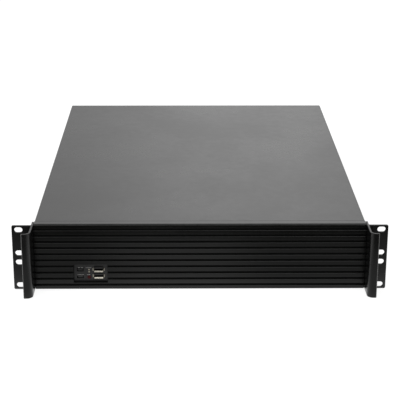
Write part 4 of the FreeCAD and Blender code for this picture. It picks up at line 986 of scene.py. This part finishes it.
@dataclass(frozen=True)
class ControlPanel:
    """Recessed plate with its buttons, lamps, sockets, printed strokes and contacts."""

    plate_rounding: float = 0.12 * MM
    crown: tuple[tuple[float, float], ...] = (
        # inset of each step towards the middle, and how far its rim is set back
        (0.20 * MM, 0.60 * MM), (0.35 * MM, 0.34 * MM), (0.40 * MM, 0.14 * MM), (0.45 * MM, 0.04 * MM),
    )
    crown_sharp: float = 50.0
    lamp_rounding: float = 0.15 * MM
    lamp_segments: int = 3
    shell_rounding: float = 0.08 * MM
    captions: tuple[tuple[str, float, float, tuple[float, ...]], ...] = (
        # what it stands above, gap over that, shift to the right and lengths of its words, in millimetres
        ("power_button", 0.1, 0.55, (2.4, 2.8)),
        ("power_lamp", 1.55, -0.6, (7.4,)),
        ("reset_button", -0.2, 0.7, (8.4,)),
        ("alarm_lamp", 1.0, -0.6, (4.2,)),
    )
    stroke: float = 0.95 * MM
    stroke_gap: float = 0.34 * MM
    word_gap: float = 1.4 * MM
    ink: float = 0.02 * MM
    # depth behind the plate's face, and height of the upper tab, from which a socket shell takes painted
    # shade
    mouth: float = 0.6 * MM
    shaded_tab: float = 1.7 * MM
    contacts_each: int = 4
    contact_width: float = 1.2 * MM
    contact_length: float = 8.0 * MM
    contact_depth: float = 0.06 * MM
    contact_pitch: float = 2.25 * MM
    contact_start: float = 0.5 * MM
    contact_drop: float = 1.9 * MM

    def build(self) -> None:
        """Round the moulded and sheet pieces, and add the print and the contacts."""
        BrokenEdges("io_plate", PLASTIC, self.plate_rounding).build()
        for node in ("power_button", "reset_button"):
            self.button(node)
        for node in ("power_lamp", "drive_lamp"):
            BrokenEdges(node, AMBER, self.lamp_rounding, self.lamp_segments).build()
        BrokenEdges("alarm_lamp", RED, self.lamp_rounding, self.lamp_segments).build()
        recipe = tile_recipe()
        for side in ("upper", "lower"):
            self.socket(f"usb_shell_{side}")
            BrokenEdges(f"usb_tongue_{side}", PLASTIC, self.plate_rounding).build()
            self.contacts(recipe, side)
        self.print(recipe)

    def socket(self, node: str) -> None:
        """Plated socket shell, with painted shade on its faces behind the mouth and along its upper tab,
        which the plate's lip shades.

        Args:
            node: CAD node.
        """
        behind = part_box("io_plate")[0].y + self.mouth
        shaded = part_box(node)[1].z - self.shaded_tab
        shell = BrokenEdges(node, NICKEL, self.shell_rounding).build()
        # paint shade on the faces behind the mouth and along the upper tab
        PAINTED_SHADE_INSIDE.coat(shell, lambda face: face.center.y > behind or face.center.z > shaded)

    def button(self, node: str) -> None:
        """Push button whose face is crowned from its rim to its middle.

        Args:
            node: CAD node.
        """
        shape = merged_copy(node, FLAT_ANGLE)
        face = min(shape.faces, key=lambda item: item.calc_center_median().y)
        for inset, back in self.crown:
            rim = list(face.verts)
            bmesh.ops.inset_individual(shape, faces=[face], thickness=inset)
            bmesh.ops.translate(shape, verts=rim, vec=(0.0, back, 0.0))
        piece = mesh_object(f"{node}_crowned", shape)
        smooth(piece, self.crown_sharp)
        hand_over(piece, BUTTON, node)

    def contacts(self, recipe: Recipe, side: str) -> None:
        """Gold strips on the underside of a socket's tongue.

        Args:
            recipe: tree that makes the strips.
            side: upper or lower.
        """
        tongue = f"usb_tongue_{side}"
        low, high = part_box(tongue)
        first = (low.x + high.x) / 2 - (self.contacts_each - 1) / 2 * self.contact_pitch
        back = low.y + self.contact_start + self.contact_length / 2
        under = high.z - self.contact_drop
        lines = [first + number * self.contact_pitch for number in range(self.contacts_each)]
        spots = tuple((Vector((x, back, under)), self.contact_width, self.contact_length) for x in lines)
        down = (math.pi, 0.0, 0.0)
        Tiles(f"usb_contacts_{side}", GOLD, tongue, spots, self.contact_depth, down).build(recipe)

    def print(self, recipe: Recipe) -> None:
        """Short pale strokes above the buttons and lamps, where such a plate is marked.

        Args:
            recipe: tree that makes the strokes.
        """
        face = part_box("io_plate")[0].y
        spots = []
        for node, gap, shift, words in self.captions:
            low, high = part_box(node)
            z = high.z + gap * MM
            at = (low.x + high.x) / 2 + (shift - sum(words) / 2) * MM - self.word_gap * (len(words) - 1) / 2
            for word in words:
                count = max(1, round(word * MM / (self.stroke + self.stroke_gap)))
                step = word * MM / count
                for place in range(count):
                    middle = Vector((at + (place + 0.5) * step, face, z))
                    spots.append((middle, step - self.stroke_gap, self.stroke))
                at += word * MM + self.word_gap
        Tiles("plate_print", INK, "io_plate", tuple(spots), self.ink).build(recipe)


# ---------- body and inside
@dataclass(frozen=True)
class Enclosure:
    """Folded steel sheets of the body: tray, frame, fan wall, rear panel and cover."""

    rounding: float = 0.25 * MM

    def build(self) -> None:
        """Round the sheets' edges."""
        for node in ("base_tray", "front_frame", "rear_panel", "top_cover"):
            BrokenEdges(node, POWDER_COAT, self.rounding).build()
        BrokenEdges("fan_wall", ZINC, self.rounding).build()


@dataclass(frozen=True)
class Inside:
    """Fans, drive cages, power supply cradle, slot covers, rail and stand-offs."""

    fans: int = 3
    slots: int = 7
    frame_rounding: float = 0.4 * MM
    rotor_rounding: float = 0.2 * MM
    rotor_segments: int = 1
    rotor_sharp: float = 50.0
    sheet_rounding: float = 0.2 * MM
    turned_rounding: float = 0.15 * MM

    def build(self) -> None:
        """Round their edges."""
        for number in range(1, self.fans + 1):
            BrokenEdges(f"fan_frame_{number}", PLASTIC, self.frame_rounding).build()
            rotor = (self.rotor_rounding, self.rotor_segments, self.rotor_sharp)
            BrokenEdges(f"fan_rotor_{number}", PLASTIC, *rotor).build()
        covers = [f"slot_cover_{number}" for number in range(1, self.slots + 1)]
        for node in ("drive_cage_1", "drive_cage_2", "psu_cradle", "slot_rail", *covers):
            BrokenEdges(node, ZINC, self.sheet_rounding).build()
        BrokenEdges("standoffs", BRASS, self.turned_rounding).build()


# ---------- studio
@dataclass(frozen=True)
class Studio:
    """Pale floor, soft lamps, surroundings and the camera."""

    floor_size: float = 12.0
    floor_drop: float = 0.4 * MM
    # share of light that the floor returns, and what is added to it for the eye
    floor_albedo: float = 0.35
    floor_glow: float = 0.84
    # brightness of the floor in reflections: near the case, ahead of it, far ahead, and share at the sides
    floor_near: float = 1.32
    floor_middle: float = 0.83
    floor_far: float = 0.09
    floor_aside: float = 0.52
    # where the floor is brightest across, and the distances over which it dims aside and ahead
    bright_x: float = -0.03
    aside_range: tuple[float, float] = (0.03, 0.15)
    near_end: tuple[float, float] = (0.008, 0.062)
    middle_end: tuple[float, float] = (0.168, 0.196)
    # strength of the surroundings as a light
    surround: float = 0.55
    # brightness of the surroundings in reflections: all round, at their bright place, and more to the right
    sky_low: float = 1.10
    sky_high: float = 1.82
    sky_right: float = 0.6
    # direction of the bright place, cosine of its half width, its middle across, and how it dims aside
    sky_aim: Triple = (0.04, 0.766, 0.643)
    sky_edge: float = 0.88
    sky_across: float = 0.060
    sky_aside: tuple[float, float, float] = (0.02, 0.17, 0.60)
    sky_right_range: tuple[float, float] = (0.2, 0.9)
    lamps: tuple[tuple[str, Triple, tuple[float, float], float], ...] = (
        # name, place, width and height, and watts
        ("key_softbox", (-0.3, -0.6, 2.2), (2.4, 1.6), 18.0),
        ("fill_softbox", (-1.6, -1.4, 1.6), (1.6, 1.6), 4.0),
    )
    lamp_aim: Triple = (0.0, 0.0, 0.05)
    # camera: lens and sensor in millimetres, place beside, ahead of and over the panel's foot, and turns
    lens: float = 111.81
    sensor: float = 36.0
    clip: tuple[float, float] = (0.05, 50.0)
    side: float = -0.0197
    back_off: float = 1.4865
    height: float = 0.6479
    yaw: float = 0.01299
    pitch: float = 0.33985
    roll: float = 0.00267

    def build(self) -> None:
        """Make everything that isn't the object."""
        self.camera()
        self.floor()
        self.world()
        for lamp in self.lamps:
            self.lamp(*lamp)
        bpy.context.scene.view_settings.view_transform = "Standard"
        LOG.info("studio is ready")

    def camera(self) -> None:
        """Camera at the viewing angle of the front."""
        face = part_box("front_panel")[0].y
        data = bpy.data.cameras.new("front_camera")
        data.lens = self.lens
        data.sensor_width = self.sensor
        data.clip_start, data.clip_end = self.clip
        camera = bpy.data.objects.new("front_camera", data)
        bpy.context.scene.collection.objects.link(camera)
        level = math.cos(self.pitch)
        ahead = Vector((math.sin(self.yaw) * level, math.cos(self.yaw) * level, -math.sin(self.pitch)))
        right = ahead.cross(Vector((0.0, 0.0, 1.0))).normalized()
        up = right.cross(ahead)
        across = right * math.cos(self.roll) + up * math.sin(self.roll)
        over = across.cross(ahead)
        turn = Matrix((across, over, -ahead)).transposed().to_4x4()
        camera.matrix_world = Matrix.Translation((self.side, face - self.back_off, self.height)) @ turn
        bpy.context.scene.camera = camera

    def floor(self) -> None:
        """Plain pale floor that shows white to the eye, keeps a soft shadow and is bright near the case."""
        shape = bmesh.new()
        bmesh.ops.create_grid(shape, x_segments=1, y_segments=1, size=self.floor_size / 2)
        bmesh.ops.translate(shape, verts=shape.verts, vec=(0.0, 0.0, -self.floor_drop))
        piece = mesh_object("studio_floor", shape)
        made = bpy.data.materials.new("studio_floor")
        made.use_nodes = True
        graph = Graph(made.node_tree)
        matte = graph.add("ShaderNodeBsdfDiffuse", {"Color": opaque((self.floor_albedo,) * 3)})
        place = graph.add("ShaderNodeSeparateXYZ", {0: graph.add("ShaderNodeTexCoord").outputs["Object"]})
        ahead = graph.minus(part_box("front_panel")[0].y, place.outputs["Y"])
        near = graph.ramp(ahead, *self.near_end, self.floor_near - self.floor_middle, 0.0)
        far = graph.ramp(ahead, *self.middle_end, self.floor_middle, self.floor_far)
        off = graph.math("ABSOLUTE", graph.minus(place.outputs["X"], self.bright_x))
        aside = graph.ramp(off, *self.aside_range, 1.0, self.floor_aside)
        mirrored = graph.math("MULTIPLY_ADD", far, aside, near)
        rays = graph.add("ShaderNodeLightPath")
        seen = graph.times(rays.outputs["Is Camera Ray"], self.floor_glow)
        glow = graph.add("ShaderNodeEmission", {"Color": WHITE, "Strength": seen})
        lit = graph.add("ShaderNodeAddShader", {0: matte, 1: glow})
        image = graph.add("ShaderNodeEmission", {"Color": WHITE, "Strength": mirrored})
        surface = graph.add("ShaderNodeMixShader", {0: rays.outputs["Is Glossy Ray"], 1: lit, 2: image})
        graph.add("ShaderNodeOutputMaterial", {"Surface": surface})
        piece.data.materials.append(made)

    def world(self) -> None:
        """White surroundings to the eye, with a soft bright side in reflections, and dimmer as a light."""
        world = bpy.data.worlds.new("studio_surround")
        world.use_nodes = True
        bpy.context.scene.world = world
        graph = Graph(world.node_tree)
        towards = graph.add("ShaderNodeTexCoord").outputs["Generated"]
        pair = {0: towards, 1: Vector(self.sky_aim).normalized()}
        aim = graph.add("ShaderNodeVectorMath", pair, operation="DOT_PRODUCT")
        lobe = graph.ramp(aim.outputs["Value"], self.sky_edge, 1.0, self.sky_low, self.sky_high)
        sideways = graph.add("ShaderNodeSeparateXYZ", {0: towards}).outputs["X"]
        off = graph.math("ABSOLUTE", graph.minus(sideways, self.sky_across))
        start, end, dim = self.sky_aside
        narrow = graph.times(lobe, graph.ramp(off, start, end, 1.0, dim))
        bright = graph.plus(narrow, graph.ramp(sideways, *self.sky_right_range, 0.0, self.sky_right))
        rays = graph.add("ShaderNodeLightPath")
        mirrored = graph.times(rays.outputs["Is Glossy Ray"], graph.minus(bright, self.surround))
        seen = graph.math("MULTIPLY_ADD", rays.outputs["Is Camera Ray"], 1.0 - self.surround, self.surround)
        strength = graph.plus(seen, mirrored)
        sky = graph.add("ShaderNodeBackground", {"Color": WHITE, "Strength": strength})
        graph.add("ShaderNodeOutputWorld", {"Surface": sky})

    def lamp(self, name: str, place: Triple, size: tuple[float, float], power: float) -> None:
        """Soft area lamp aimed at the object.

        Args:
            name: name of the lamp.
            place: its middle.
            size: its width and height.
            power: watts.
        """
        data = bpy.data.lights.new(name, "AREA")
        data.shape = "RECTANGLE"
        data.size, data.size_y = size
        data.energy = power
        lamp = bpy.data.objects.new(name, data)
        bpy.context.scene.collection.objects.link(lamp)
        aim = Vector(self.lamp_aim) - Vector(place)
        lamp.matrix_world = Matrix.Translation(place) @ aim.to_track_quat("-Z", "Y").to_matrix().to_4x4()


PLAIN = (POWDER_COAT, ZINC, HANDLE_ANODISE, NICKEL, BRASS, PLASTIC, SOLDER_MASK, AMBER, RED)
SLOT_FINISHES = {finish.slot: finish for finish in PLAIN}


def dress_nodes() -> None:
    """Give every CAD node the finish of its material slot."""
    for part in frame["record"]["subparts"]:
        SLOT_FINISHES[part["material_slot"]].dress(frame["nodes"][part["node"]])


def main() -> None:
    """Build the looks in order."""
    logging.basicConfig(level=logging.INFO, format="%(name)s: %(message)s")
    dress_nodes()
    for group in (Studio(), Enclosure(), FrontPanel(), ControlPanel(), Inside(), Fasteners()):
        group.build()


if __name__ == "__main__":
    main()
